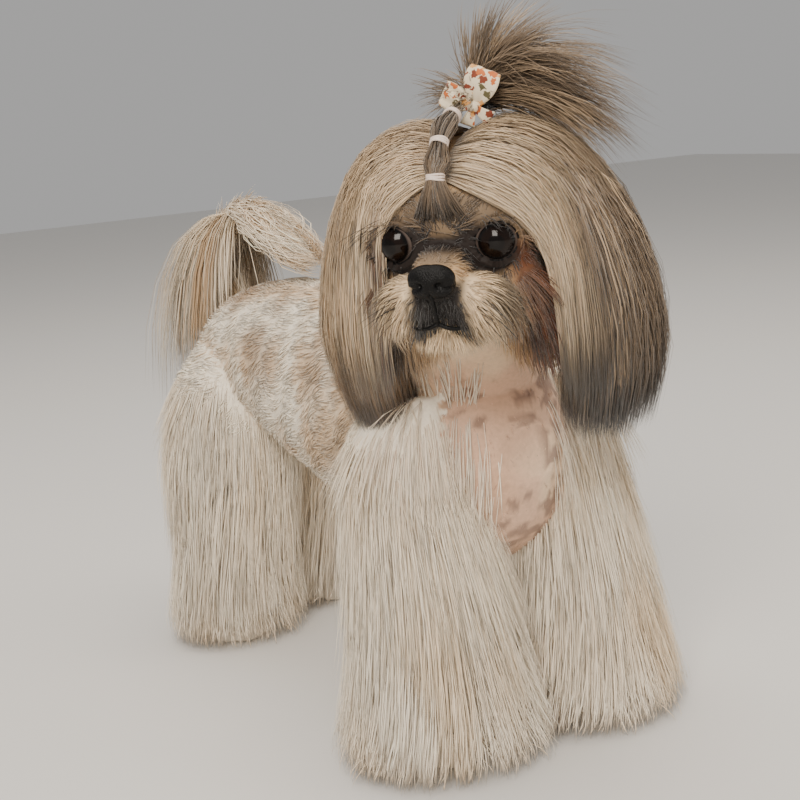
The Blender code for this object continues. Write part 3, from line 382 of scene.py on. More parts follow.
def skin_parts():
    """The closed forms that the skin is made of: name, rings and whether they are in the head's frame."""
    trunk = along(TRUNK, np.linspace(0, 1, 60))
    depth = DEPTHS["trunk"] * ramp(trunk[:, 0], -0.168, -0.110) + 0.001
    trunk[:, 1] -= depth
    trunk[:, 2] += depth * 0.6
    trunk[:, 3] -= depth
    yield "trunk", upright_rings(trunk, 48, 2.2), False
    neck = along(NECK, np.linspace(0, 1, 20))
    neck[:, 3:] -= DEPTHS["neck"]
    neck[:, 3] += 0.006 * ramp(neck[:, 2], 0.20, 0.24)
    yield "neck", tube_rings(neck[:, :3], neck[:, 3:], 36), False
    skull = along(inset_rows(SKULL, DEPTHS["skull"]), np.linspace(0, 1, 40))
    yield "head", upright_rings(skull, 40, SKULL_POWER), True
    yield "head", upright_rings(along(BRIDGE, np.linspace(0, 1, 16)), 24, 2.4), True
    for side in (1, -1):
        x, y, z = PAD_PLACE
        yield "head", ball_rings((side * x, y, z), PAD_SIZE), True
        x, y, z = EYE_PLACE
        yield "head", ball_rings((side * x, y, z), (EYE_RADIUS + 0.0018,) * 3), True
        # The brow above the eye and the cheek below it
        yield "head", ball_rings((side * 0.022, -0.032, 0.017), (0.013, 0.012, 0.009)), True
        yield "head", ball_rings((side * 0.030, -0.030, -0.018), (0.013, 0.014, 0.012)), True
        yield "head", ball_rings((side * 0.034, -0.012, -0.040), (0.020, 0.018, 0.020)), True
        reach, spread = EAR_SIDES[side]
        flap = along(EAR, np.linspace(0.06, 0.94, 30))
        flap[:, 0] *= side * reach
        turn = turn_angles(24)
        rings = [
            flat_ring(x, y, z, CORE * wide * spread, CORE * deep * spread, turn)
            for x, y, z, wide, deep in flap
        ]
        yield ("ear_left" if side == 1 else "ear_right"), rings, True
    yield "head", ball_rings(CHIN_PLACE, CHIN_SIZE), True
    for name in FEET:
        rows = along(limb_rows(name), np.linspace(0, 1, 30))
        x, y = limb_middle(name, rows[:, 0])
        turn = turn_angles(28)
        rings = [
            flat_ring(a, b + back, z, wide - 0.001, deep - 0.001, turn)
            for a, b, (z, _, wide, deep, back) in zip(x, y, rows)
        ]
        rings.append(rings[-1] * (1, 1, 0) + (0, 0, 0.0005))
        yield name, rings, False
        # The inner half of the long coat, which the outer strands lie on
        coat_rows = FORE_COAT if name.startswith("fore") else HIND_COAT
        z = np.linspace(coat_rows[0, 0] - 0.004, 0.020, 24)
        x, y = limb_middle(name, z)
        _, wide, deep, _ = rows_at(limb_rows(name), z)
        grown = rows_at(coat_rows, z)[0]
        share = CORE * ramp(coat_rows[0, 0] - z, -0.004, 0.030)
        wide, deep = wide + (grown - wide) * share, deep + (grown - deep) * share
        rings = [flat_ring(*row, turn) for row in zip(x, y, z, wide, deep)]
        yield name, rings, False
        for i in range(4):
            # The toes
            across = (i - 1.5) * 0.0098
            forward = -0.021 + 0.0026 * abs(i - 1.5)
            foot = np.array(FEET[name]) + (across, forward)
            yield name, ball_rings((*foot, 0.0085), (0.0058, 0.0085, 0.0080), 8, 14), False
    tail = along(TAIL, np.linspace(0, 0.86, 50))
    path = np.stack([np.zeros(50), tail[:, 0], tail[:, 1]], 1)
    yield "tail", tube_rings(path, tail[:, [2, 2]] * 0.72, 20), False


def eye_matrix(side):
    """From an eye's own frame, which looks along -Y, to the head's."""
    x, y, z = EYE_PLACE
    return Matrix.Translation((side * x, y, z)) @ Matrix.Rotation(side * EYE_SPLAY, 4, "Z")


def lid_edge(angle):
    """How far, in radians, the lids' edge is from the middle of the eye's front, at an angle round it."""
    wide, tall = 1.04, 0.90
    return 1 / np.sqrt((np.cos(angle) / wide) ** 2 + (np.sin(angle) / tall) ** 2)


def shape_lids(points):
    """Moves the skin's points near each eye, in the head's frame, so that lids close round it."""
    for side in (1, -1):
        local = placed(points, eye_matrix(side).inverted())
        radius = np.linalg.norm(local, axis=1)
        off = np.arccos(np.clip(-local[:, 1] / np.maximum(radius, 1e-6), -1, 1))
        edge = off - lid_edge(np.arctan2(local[:, 2], local[:, 0]))
        near = (radius < EYE_RADIUS + 0.006) & (off < 1.5)
        rim = 0.0014 * np.exp(-((edge - 0.07) / 0.09) ** 2)
        wanted = np.where(edge < 0, EYE_RADIUS - 0.0025, np.maximum(radius, EYE_RADIUS + 0.0007) + rim)
        local = np.where(near[:, None], local * (wanted / np.maximum(radius, 1e-6))[:, None], local)
        moved = placed(local, eye_matrix(side))
        points = np.where(near[:, None], moved, points)
    return points


def make_skin():
    """One closed skin over the whole animal. Returns its points, triangles, each point's part and the parts'
    names.
    """
    points, faces, parts = [], [], []
    names = []
    for name, rings, in_head in skin_parts():
        more, more_faces = loft(rings)
        more_faces = outward(more, more_faces)
        if in_head:
            more = to_body(more)
        start = sum(len(p) for p in points)
        points.append(more)
        faces += [tuple(int(v) + start for v in f) for f in more_faces]
        if name not in names:
            names.append(name)
        parts += [names.index(name)] * len(more)
    points = np.vstack(points)
    rough = bpy.data.meshes.new("rough")
    rough.from_pydata([tuple(p) for p in points], [], faces)
    holder = bpy.data.objects.new("rough", rough)
    bpy.context.scene.collection.objects.link(holder)
    remesh = holder.modifiers.new("whole", "REMESH")
    remesh.mode = "VOXEL"
    remesh.voxel_size = SKIN_GRAIN
    even = holder.modifiers.new("even", "SMOOTH")
    even.factor = 0.5
    even.iterations = 5
    fewer = holder.modifiers.new("fewer", "DECIMATE")
    fewer.ratio = SKIN_KEPT
    graph = bpy.context.evaluated_depsgraph_get()
    mesh = bpy.data.meshes.new_from_object(holder.evaluated_get(graph))
    bpy.data.objects.remove(holder)
    mesh.calc_loop_triangles()
    triangles = np.empty(len(mesh.loop_triangles) * 3, np.int32)
    mesh.loop_triangles.foreach_get("vertices", triangles)
    triangles = triangles.reshape(-1, 3)
    count = len(mesh.vertices)
    found = np.empty(count * 3, np.float32)
    mesh.vertices.foreach_get("co", found)
    found = found.reshape(-1, 3).astype(float)
    tree = KDTree(len(points))
    for i, point in enumerate(points):
        tree.insert(point, i)
    tree.balance()
    nearest = np.array([tree.find(p)[1] for p in found])
    labels = np.array(parts)[nearest]
    local = to_head(found)
    face = np.array([n == "head" for n in names])[labels]
    shaped = shape_lids(local)
    found = np.where(face[:, None], to_body(shaped), found)
    found[:, 2] = np.maximum(found[:, 2], 0.0006)
    return found, triangles, labels, names


def point_normals(points, triangles):
    a, b, c = (points[triangles[:, i]] for i in range(3))
    faces = np.cross(b - a, c - a)
    normals = np.zeros_like(points)
    for i in range(3):
        np.add.at(normals, triangles[:, i], faces)
    return unit(normals), unit(faces), np.linalg.norm(faces, axis=1) / 2


class Skin:
    """The skin's mesh data, and the map that the coat shares with it."""

    def __init__(self):
        self.points, self.triangles, self.labels, self.names = make_skin()
        self.normals, self.face_normals, self.areas = point_normals(self.points, self.triangles)
        self.parts = self.labels[self.triangles[:, 0]]
        self.face_names = np.array(self.names)[self.parts]
        self.sides = np.abs(self.face_normals).argmax(1)
        along_side = np.take_along_axis(self.face_normals, self.sides[:, None], 1)[:, 0]
        self.sides = self.sides * 2 + (along_side > 0)
        self.corners = {}
        for part in range(len(self.names)):
            own = self.points[self.labels == part]
            self.corners[part] = (own.min(0), (own.max(0) - own.min(0)).max())
        corners = [tuple(p) for p in self.points]
        self.tree = BVHTree.FromPolygons(corners, [tuple(t) for t in self.triangles.tolist()])

    def uv(self, points, faces):
        """Places on given faces, on the map: each part is unwrapped towards six sides, a cell for each."""
        parts, sides = self.parts[faces], self.sides[faces]
        low = np.array([self.corners[p][0] for p in range(len(self.names))])[parts]
        size = np.array([self.corners[p][1] for p in range(len(self.names))])[parts]
        place = (points - low) / size[:, None]
        axis = sides // 2
        across = np.where(axis == 0, place[:, 1], place[:, 0])
        up = np.where(axis == 2, place[:, 1], place[:, 2])
        cell = parts * 6 + sides
        flat = np.stack([across, up], 1) * 0.92 + 0.04
        return (flat + np.stack([cell % MAP_CELLS, cell // MAP_CELLS], 1)) / MAP_CELLS

    def nearest(self, points):
        return np.array([self.tree.find_nearest(p)[2] for p in points])

    def scatter(self, count, weights):
        """Random places on the skin, as (places, normals, faces), by a weight for each face."""
        chance = self.areas * weights
        faces = draw.choice(len(chance), count, p=chance / chance.sum())
        a, b = draw.random(count), draw.random(count)
        over = a + b > 1
        a, b = np.where(over, 1 - a, a), np.where(over, 1 - b, b)
        shares = np.stack([1 - a - b, a, b], 1)[:, :, None]
        corners = self.triangles[faces]
        return (self.points[corners] * shares).sum(1), unit((self.normals[corners] * shares).sum(1)), faces


# Tufts
def tuft_mesh(name, paths, out, widths, thick, tints, roots):
    """A mesh of closed, tapered strands, flat on the inside with a ridge outwards. Paths are
    (count, stations, 3), the last station being the tip. Each strand has a patch on the map, at its root."""
    count, stations = paths.shape[:2]
    rings = stations - 1
    way = unit(np.gradient(paths, axis=1))
    face = unit(out - way * (out * way).sum(-1, keepdims=True))
    side = np.cross(way, face)
    share = steps(stations)[:rings]
    shape = np.interp(share, (0, 0.25, 0.6, 0.85, 1), (0.6, 1, 0.92, 0.6, 0.3))
    half = widths[:, None, None] * shape[None, :, None]
    base = paths[:, :rings]
    points = np.stack([
        base + side[:, :rings] * half,
        base + face[:, :rings] * half * thick,
        base - side[:, :rings] * half,
    ], 2).reshape(count, rings * 3, 3)
    points = np.concatenate([points, paths[:, -1:]], 1)
    pattern = [(0, 2, 1)]
    for i in range(rings - 1):
        for j in range(3):
            k = (j + 1) % 3
            pattern += [(i * 3 + j, i * 3 + k, i * 3 + 3 + k), (i * 3 + j, i * 3 + 3 + k, i * 3 + 3 + j)]
    tip = rings * 3
    pattern += [((rings - 1) * 3 + j, (rings - 1) * 3 + (j + 1) % 3, tip) for j in range(3)]
    pattern = np.array(pattern)
    a, b, c = (points[0][pattern[:, i]] - points[0][0] for i in range(3))
    if np.einsum("ij,ij->", a, np.cross(b, c)) < 0:
        pattern = pattern[:, ::-1]
    each = tip + 1
    triangles = (pattern[None] + (np.arange(count) * each)[:, None, None]).reshape(-1, 3)
    mesh = triangle_mesh(name, points.reshape(-1, 3) + SHIFT, triangles)
    colours = np.repeat(tints[:, :rings], 3, axis=1)
    colours = np.concatenate([colours, tints[:, -1:]], 1).reshape(-1, 3)
    paint(mesh, colours)
    across = np.concatenate([np.tile((-0.5, 0, 0.5), rings), [0]])
    height = np.concatenate([np.repeat(share, 3), [1]])
    patch = np.stack([across, height], 1) * PATCH
    uv = (roots[:, None] + patch[None]).reshape(-1, 2)[triangles.ravel()]
    layer = mesh.uv_layers.new(name="OFBake")
    layer.data.foreach_set("uv", np.clip(uv, 0, 1).astype(np.float32).ravel())
    return mesh


def paint(mesh, colours):
    layer = mesh.color_attributes.new("tint", "FLOAT_COLOR", "POINT")
    full = np.concatenate([np.clip(colours, 0.002, 1), np.ones((len(colours), 1))], 1)
    layer.data.foreach_set("color", full.astype(np.float32).ravel())


def coat(name, paths, out, widths, tints, faces=None, thick=0.7):
    """Coat pieces of strands, as many as the limit on triangles asks for."""
    each = (paths.shape[1] - 2) * 6 + 4
    most = MOST_TRIANGLES // each
    if faces is None:
        faces = skin.nearest(paths[:, 0])
    roots = skin.uv(paths[:, 0], faces)
    out = np.broadcast_to(out, paths.shape)
    parts = math.ceil(len(paths) / most)
    for i in range(parts):
        own = slice(i * len(paths) // parts, (i + 1) * len(paths) // parts)
        title = name if parts == 1 else "%s_%d" % (name, i + 1)
        mesh = tuft_mesh(title, paths[own], out[own], widths[own], thick, tints[own], roots[own])
        piece = link(title, mesh, hair_material)
        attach(piece, "root")


def gathered(paths, count, strength, power=1.4):
    """Draws strands together towards their tips into so many wisps. Returns each strand's wisp."""
    total, stations = paths.shape[:2]
    centres = draw.choice(total, count, replace=False)
    tree = KDTree(count)
    for i, centre in enumerate(centres):
        tree.insert(paths[centre, stations // 2], i)
    tree.balance()
    wisp = np.array([tree.find(p)[1] for p in paths[:, stations // 2]])
    share = steps(stations)[None, :, None]
    pull = strength * draw.uniform(0.4, 1.0, total)[:, None, None] * share**power
    paths += (paths[centres[wisp]] - paths) * pull
    return wisp


def by_wisp(wisp):
    """A random number for each wisp, given to all its strands."""
    return draw.random(wisp.max() + 1)[wisp]


def stray(paths, amount):
    """Bends each strand a little its own way, more towards its tip."""
    total, stations = paths.shape[:2]
    share = steps(stations)[None, :, None]
    paths += draw.normal(size=(total, 1, 3)) * amount * share**1.5
    wave = draw.uniform(0, 2 * math.pi, (total, 1, 3)) + share * 5
    paths += np.sin(wave) * amount * 0.4 * share


def tinted(root, tip, stations, count, wisp=None, spread=0.10, power=1.0):
    """Colours from root to tip, uneven from strand to strand and from wisp to wisp."""
    share = steps(stations)[None, :] ** power
    root = each_of(count, root)
    tip = each_of(count, tip)
    made = root[:, None] + (tip - root)[:, None] * share[..., None]
    uneven = 1 + draw.normal(size=(count, 1, 1)) * spread
    if wisp is not None:
        uneven *= 1 + (draw.normal(size=wisp.max() + 1) * spread)[wisp][:, None, None]
    return made * np.clip(uneven, 0.45, 1.6)


# Materials
def new_material(name):
    made = bpy.data.materials.new(name)
    made.use_nodes = True
    return made, made.node_tree.nodes, made.node_tree.links, made.node_tree.nodes["Principled BSDF"]


def set_values(shader, **values):
    for name, value in values.items():
        shader.inputs[name.replace("_", " ")].default_value = value


def wire(links, giver, output, taker, socket):
    links.new(giver.outputs[output], taker.inputs[socket])


def node(nodes, kind, **values):
    made = nodes.new("ShaderNode" + kind)
    set_values(made, **values)
    return made


def make_tinted_material(name, grain, low, high, **values):
    """A material with the mesh's own tint, made uneven. Returns it, its nodes, links, shader and noise."""
    made, nodes, links, shader = new_material(name)
    tint = node(nodes, "Attribute")
    tint.attribute_name = "tint"
    noise = node(nodes, "TexNoise", **grain)
    level = node(nodes, "MapRange", To_Min=low, To_Max=high)
    product = node(nodes, "VectorMath")
    product.operation = "MULTIPLY"
    where = node(nodes, "TexCoord")
    wire(links, where, "Object", noise, "Vector")
    wire(links, noise, "Fac", level, "Value")
    wire(links, tint, "Color", product, 0)
    wire(links, level, "Result", product, 1)
    wire(links, product, "Vector", shader, "Base Color")
    set_values(shader, **values)
    return made, nodes, links, shader, noise


def make_hair_material():
    look = {"Roughness": 0.52, "Specular_IOR_Level": 0.30, "Sheen_Weight": 0.25, "Sheen_Roughness": 0.45}
    return make_tinted_material("coat_hair", {"Scale": 900}, 0.92, 1.10, **look)[0]


def make_skin_material():
    look = {"Roughness": 0.62, "Specular_IOR_Level": 0.3, "Sheen_Weight": 0.15, "Sheen_Roughness": 0.5}
    grain = {"Scale": 420, "Detail": 4}
    made, nodes, links, shader, noise = make_tinted_material("skin_and_undercoat", grain, 0.80, 1.18, **look)
    bump = node(nodes, "Bump", Strength=0.6, Distance=0.0008)
    wire(links, noise, "Fac", bump, "Height")
    wire(links, bump, "Normal", shader, "Normal")
    return made


def make_eye_material():
    made, nodes, links, shader = new_material("eye")
    tint = node(nodes, "Attribute")
    tint.attribute_name = "tint"
    wire(links, tint, "Color", shader, "Base Color")
    set_values(shader, Roughness=0.15, Specular_IOR_Level=0.08)
    set_values(shader, Coat_Weight=0.55, Coat_IOR=1.33, Coat_Roughness=0.02)
    return made


def make_nose_material():
    made, nodes, links, shader = new_material("nose_leather")
    where = node(nodes, "TexCoord")
    cells = node(nodes, "TexVoronoi", Scale=1300)
    bump = node(nodes, "Bump", Strength=0.7, Distance=0.0004)
    bump.invert = True
    level = node(nodes, "MapRange", To_Min=0.28, To_Max=0.50)
    wire(links, where, "Object", cells, "Vector")
    wire(links, cells, "Distance", bump, "Height")
    wire(links, cells, "Distance", level, "Value")
    wire(links, level, "Result", shader, "Roughness")
    wire(links, bump, "Normal", shader, "Normal")
    shader.inputs["Base Color"].default_value = (0.0035, 0.0032, 0.0032, 1)
    set_values(shader, Specular_IOR_Level=0.16)
    return made


def make_band_material():
    made, nodes, links, shader = new_material("band_rubber")
    where = node(nodes, "TexCoord")
    noise = node(nodes, "TexNoise", Scale=600)
    colours = node(nodes, "ValToRGB")
    colours.color_ramp.elements[0].color = (*shade(205, 180, 165), 1)
    colours.color_ramp.elements[1].color = (*shade(240, 226, 214), 1)
    wire(links, where, "Object", noise, "Vector")
    wire(links, noise, "Fac", colours, "Fac")
    wire(links, colours, "Color", shader, "Base Color")
    set_values(shader, Roughness=0.42)
    return made


BOW_INKS = ((0.0, (196, 104, 48)), (0.35, (128, 58, 34)), (0.62, (222, 160, 88)), (0.82, (92, 84, 52)))


def make_bow_material():
    """Ivory ribbon with a scattered print of small rust and orange leaves."""
    made, nodes, links, shader = new_material("bow_cloth")
    where = node(nodes, "TexCoord")
    leaves = node(nodes, "TexVoronoi", Scale=210)
    shape = node(nodes, "ValToRGB")
    shape.color_ramp.elements[0].position = 0.40
    shape.color_ramp.elements[0].color = (1, 1, 1, 1)
    shape.color_ramp.elements[1].position = 0.46
    shape.color_ramp.elements[1].color = (0, 0, 0, 1)
    inks = node(nodes, "ValToRGB")
    inks.color_ramp.interpolation = "CONSTANT"
    for place, colour in BOW_INKS:
        element = inks.color_ramp.elements.new(place) if place > 0 else inks.color_ramp.elements[0]
        element.color = (*shade(*colour), 1)
    blend = node(nodes, "Mix")
    blend.data_type = "RGBA"
    blend.inputs["A"].default_value = (*shade(236, 220, 190), 1)
    weave = node(nodes, "TexNoise", Scale=2600)
    bump = node(nodes, "Bump", Strength=0.35, Distance=0.0002)
    warp = node(nodes, "TexNoise", Scale=420)
    bend = node(nodes, "VectorMath")
    bend.operation = "MULTIPLY_ADD"
    bend.inputs[1].default_value = (0.006, 0.006, 0.006)
    wire(links, where, "Object", warp, "Vector")
    wire(links, warp, "Color", bend, 0)
    wire(links, where, "Object", bend, 2)
    wire(links, bend, "Vector", leaves, "Vector")
    wire(links, leaves, "Distance", shape, "Fac")
    wire(links, leaves, "Color", inks, "Fac")
    wire(links, shape, "Color", blend, "Factor")
    wire(links, inks, "Color", blend, "B")
    wire(links, blend, "Result", shader, "Base Color")
    wire(links, where, "Object", weave, "Vector")
    wire(links, weave, "Fac", bump, "Height")
    wire(links, bump, "Normal", shader, "Normal")
    set_values(shader, Roughness=0.75, Sheen_Weight=0.2)
    return made


# Markings
def body_tint(points):
    """The short coat's colour on the trunk and neck."""
    x, y, z = points.T
    patches = blotch(points, 0.020, 3)
    tint = mix(WHITE * 0.93, SAND, ramp(patches, -0.5, 0.8) * 0.7)
    saddle = ramp(z, 0.155, 0.225) * ramp(blotch(points, 0.017, 5) + 0.15, -0.2, 0.8)
    tint = mix(tint, TAN, saddle * 0.70)
    low = ramp(0.165 - z + 0.15 * (y - 0.02), 0.0, 0.05)
    tint = mix(tint, CREAM, low * 0.5)
    grey = ramp(-y, 0.03, 0.075) * ramp(0.20 - z, 0.0, 0.05) * ramp(y + 0.135, 0.0, 0.03)
    tint = mix(tint, TAUPE, grey * 0.45)
    chest = ramp(-y, 0.100, 0.135) * ramp(0.262 - z, 0.0, 0.03)
    pink = mix(PINK, CREAM, ramp(blotch(points, 0.026, 8), -0.2, 0.8) * 0.55)
    where = ramp(blotch(points, 0.026, 10) + x * 12 + 0.25, 0, 0.6)
    spots = ramp(blotch(points, 0.0034, 9), 0.10, 0.55) * where
    pink = mix(pink, SPOT, spots * 0.85)
    ruff = ramp(z, 0.215, 0.250) * ramp(0.020 - x, 0.0, 0.030)
    pink = mix(pink, CREAM, ruff * 0.8)
    return mix(tint, pink, chest * 0.92)


def face_tint(local):
    """The colour of the head's coat, by place in the head's frame."""
    x, y, z = local.T
    side = np.abs(x)
    tint = mix(SAND, TAN, 0.5 * ramp(blotch(local, 0.012, 21), -0.4, 0.6))
    brow = 0.8 * ramp(-y, 0.034, 0.044) * ramp(z, 0.004, 0.014) * (1 - ramp(z, 0.024, 0.034))
    tint = mix(tint, SMOKE, brow)
    # Rust below and outside the eyes
    rust = ramp(side, 0.024, 0.036) * ramp(0.010 - z, 0.0, 0.012) * ramp(z + 0.062, 0.0, 0.012)
    tint = mix(tint, mix(RUST, MASK, ramp(blotch(local, 0.008, 23), -0.4, 0.7)), rust * 0.92)
    # Cream muzzle and chin with dark streaks
    front = ramp(-y, 0.040, 0.052) * ramp(-z, 0.004, 0.012) * ramp(0.032 - side, 0.0, 0.008)
    tint = mix(tint, CREAM + (SAND - CREAM) * 0.35, front)
    corner = np.abs(side - (0.022 + 0.35 * np.maximum(0, -0.004 - z))) < 0.0028
    tint = mix(tint, MASK, corner * ramp(-z, 0.006, 0.012) * ramp(z + 0.050, 0.0, 0.01) * 0.65)
    streak = ramp(np.sin(side * 900 + z * 260 + blotch(local, 0.01, 22) * 1.5), 0.35, 0.95)
    tint = mix(tint, MASK, streak * 0.5 * ramp(side, 0.012, 0.026) * ramp(-z, 0.006, 0.018))
    # The dark mask round and between the eyes
    eye = np.linalg.norm(np.stack([side - 0.022, (y + 0.046) * 0.7, (z - 0.003) * 1.05], 1), axis=1)
    tint = mix(tint, MASK, (1 - ramp(eye, 0.0135, 0.0180)) * (1 - 0.85 * ramp(z, 0.010, 0.018)))
    between = (1 - ramp(side, 0.010, 0.022)) * ramp(-y, 0.040, 0.048) * ramp(z + 0.004, 0, 0.008)
    between = between * (1 - ramp(z, 0.006, 0.014))
    tint = mix(tint, MASK, between)
    bridge = (1 - ramp(side, 0.005, 0.013)) * ramp(-y, 0.058, 0.064) * ramp(z + 0.004, 0, 0.004)
    tint = mix(tint, TAUPE, bridge * 0.8)
    # Black lips and philtrum
    lips = (1 - ramp(side, 0.010, 0.017)) * ramp(-y, 0.058, 0.063) * (1 - ramp(z, -0.012, -0.007))
    lips = lips * ramp(z + 0.036, 0, 0.005)
    tint = mix(tint, SOOT, lips)
    return tint


def skin_tint():
    """The skin's colours, which the coat repeats."""
    points = skin.points
    tint = body_tint(points)
    local = to_head(points)
    names = np.array(skin.names)[skin.labels]
    tint = np.where((names == "head")[:, None], face_tint(local), tint)
    for name, colour in (("ear_left", TAUPE), ("ear_right", TAN), ("tail", CREAM)):
        tint = np.where((names == name)[:, None], colour, tint)
    return np.where(np.isin(names, list(FEET))[:, None], WHITE * 0.95, tint)


# Long coat of the legs
def leg_coat(name, count):
    stations = 5
    rows = FORE_COAT if name.startswith("fore") else HIND_COAT
    side = math.copysign(1, FEET[name][0])
    angle = draw.uniform(0, 2 * math.pi, count)
    high = draw.uniform(0.03, 1.0, count) ** 0.8
    high = np.where(draw.random(count) < 0.28, draw.uniform(0.84, 1.0, count), high) * (rows[0, 0] - 0.002)
    length = draw.uniform(0.060, 0.130, count)
    floor = draw.uniform(0.0012, 0.0075, count)
    low = np.maximum(high - length, floor)
    high = np.maximum(high, low + 0.012)
    layer = draw.uniform(0, 1, count)
    layer = 0.84 + 0.16 * layer**0.7
    share = steps(stations)[None]
    z = high[:, None] + (low - high)[:, None] * share
    x, y = limb_middle(name, z)
    limb = limb_rows(name)
    _, wide, deep, back = rows_at(limb, high)
    outline = rows_at(rows, z)[0] - 0.001
    inner = 1 + 0.20 * np.maximum(0, -side * np.cos(angle))
    root = np.sqrt((wide * np.cos(angle)) ** 2 + (deep * np.sin(angle)) ** 2)
    ease = 1 - (1 - share) ** 3.2
    radius = root[:, None] + (outline * layer[:, None] * inner[:, None] - root[:, None]) * ease
    swirl = blotch(np.stack([np.cos(angle), np.sin(angle), high * 12], 1), 0.8, 31)
    bend = angle[:, None] + 0.20 * swirl[:, None] * share
    flare = 0.006 * ramp(0.030 - z, 0.0, 0.030) * draw.uniform(-0.4, 1.0, count)[:, None]
    radius = radius + flare
    x = x + radius * np.cos(bend)
    x = side * np.maximum(side * x, 0.0015)
    paths = np.stack([x, y + radius * np.sin(bend) + back[:, None] * (1 - share), z], -1)
    wisp = gathered(paths, count // 34, 0.34)
    stray(paths, 0.0022)
    paths[..., 2] = np.maximum(paths[..., 2], 0.0010)
    paths[..., 0] = side * np.maximum(side * paths[..., 0], 0.0008)
    out = np.stack([np.cos(angle), np.sin(angle), np.full(count, 0.1)], 1)[:, None]
    patches = blotch(paths[:, 0], 0.030, 33)
    root_tint = mix(WHITE, CREAM, ramp(patches, -0.4, 1.1) * 0.8)
    tip_tint = mix(WHITE, CREAM, ramp(blotch(paths[:, -1], 0.022, 34), -0.2, 1.0) * 0.8)
    tints = tinted(root_tint, tip_tint, stations, count, wisp, 0.03) * 1.04
    # The hair turns sandier towards the floor
    toward_floor = 1 - ramp(paths[..., 2], 0.002, 0.018)
    tints = mix(tints, SAND[None, None], toward_floor * 0.5)
    widths = draw.uniform(0.00022, 0.00046, count)
    coat("coat_leg_" + name, paths, out, widths, tints, thick=0.35)


# The ears
def ear_outline(side, share, angle, layer):
    """Places on an ear's hair mass in the head's frame."""
    reach, spread = EAR_SIDES[side]
    rows = along(EAR, share)
    x, y, z, wide, deep = np.moveaxis(rows, -1, 0)
    wide, deep = wide * spread * layer, deep * spread * layer
    return np.stack([side * (x * reach + wide * np.cos(angle)), y + deep * np.sin(angle), z], -1)


def ear_coat(side, count):
    stations = 5
    angle = draw.uniform(0, 2 * math.pi, count)
    first = draw.uniform(0.0, 0.60, count) ** 1.2
    last = np.minimum(first + draw.uniform(0.45, 1.1, count), draw.uniform(0.965, 1.0, count))
    share = steps(stations)[None]
    place = first[:, None] + (last - first)[:, None] * share
    layer = 0.62 + 0.36 * draw.uniform(0, 1, count) ** 0.6
    ease = 1 - (1 - share) ** 3
    grown = 0.42 + (layer[:, None] - 0.42) * ease
    swirl = blotch(np.stack([np.cos(angle), np.sin(angle), first * 2], 1), 0.7, 41 + side)
    paths = ear_outline(side, place, angle[:, None] + 0.16 * swirl[:, None] * share, grown)
    wisp = gathered(paths, count // 24, 0.45)
    stray(paths, 0.0013)
    out = np.stack([side * np.cos(angle) * 1.3, np.sin(angle), np.full(count, 0.1)], 1)[:, None]
    if side == 1:
        root, middle, tip = TAUPE * 0.95, TAUPE * 0.62, SOOT
    else:
        root, middle, tip = SAND * 0.95, TAN * 0.95, SMOKE * 0.7
    light = by_wisp(wisp)
    root_tint = mix(each_of(count, root), FAWN, ramp(light, 0.62, 0.9) * 0.8)
    middle_tint = mix(each_of(count, middle), FAWN * 0.8, ramp(light, 0.74, 0.95) * 0.6)
    tints = mix(root_tint[:, None], middle_tint[:, None], ramp(place, 0.15, 0.60))
    edge = 0.74 + 0.08 * (light - 0.5)[:, None]
    tints = mix(tints, tip[None, None], ramp(place, edge, edge + 0.20))
    tints = tints * tinted(np.ones(3), np.ones(3), stations, count, wisp, 0.13)
    widths = draw.uniform(0.00030, 0.00056, count)
    place_out = turned(out)
    name = "coat_ear_left" if side == 1 else "coat_ear_right"
    coat(name, to_body(paths), place_out, widths, tints, thick=0.35)


# Crown hair, from the parting at the left to the end of the ear, front to back, for the dog's left side
CROWN_GUIDES = np.array([
    [(1, -46, 36), (12, -49, 31), (25, -49, 24), (37, -45, 14), (44, -38, 0), (47, -33, -18),
     (48, -31, -40), (49, -30, -65), (48, -28, -90)],
    [(1, -40, 42.5), (14, -43, 42), (29, -43, 36), (42, -38, 24), (51, -33, 5), (55, -31, -18),
     (56, -31, -42), (56, -31, -68), (54, -29, -95)],
    [(1, -28, 48), (16, -31, 49), (33, -31, 44), (48, -28, 32), (59, -26, 11), (64, -28, -15),
     (66, -31, -42), (66, -31, -70), (63, -29, -98)],
    [(1, -14, 51), (18, -16, 54), (37, -16, 49), (55, -15, 36), (68, -16, 13), (76, -19, -16),
     (80, -22, -44), (80, -22, -72), (75, -21, -102)],
    [(1, 2, 52), (19, 2, 56), (39, 1, 52), (59, 0, 39), (76, -1, 13), (88, -3, -18), (94, -4, -48),
     (93, -4, -76), (84, -4, -104)],
    [(1, 20, 51), (18, 19, 55), (38, 18, 51), (58, 18, 38), (76, 18, 12), (88, 18, -20), (94, 18, -50),
     (93, 17, -78), (84, 16, -104)],
    [(1, 36, 45), (16, 36, 46), (34, 35, 42), (52, 34, 31), (68, 34, 8), (80, 34, -20), (85, 34, -48),
     (84, 33, -74), (77, 30, -100)],
    [(1, 50, 33), (13, 50, 33), (28, 48, 29), (44, 46, 19), (58, 44, 0), (67, 43, -24), (71, 42, -48),
     (71, 41, -72), (67, 38, -96)],
]) / MM
# How far the dog's right curtain hangs in front of its eye, along the first guide
CURTAIN = np.array([
    (0, 0, 0), (0, 0, 0), (-3, -1, 0), (-6, -5, 0), (-11, -12, 0), (-12, -14, 0), (-9, -10, 0),
    (-6, -6, 0), (-4, -3, 0),
]) / MM


def crown_guides(side):
    made = CROWN_GUIDES.copy()
    if side == -1:
        made[..., 0] *= np.linspace(1, 0.90, 9)
        made[0] += CURTAIN
        made[1] += CURTAIN * 0.7
        made[2] += CURTAIN * 0.3
    return made * (side, 1, 1)


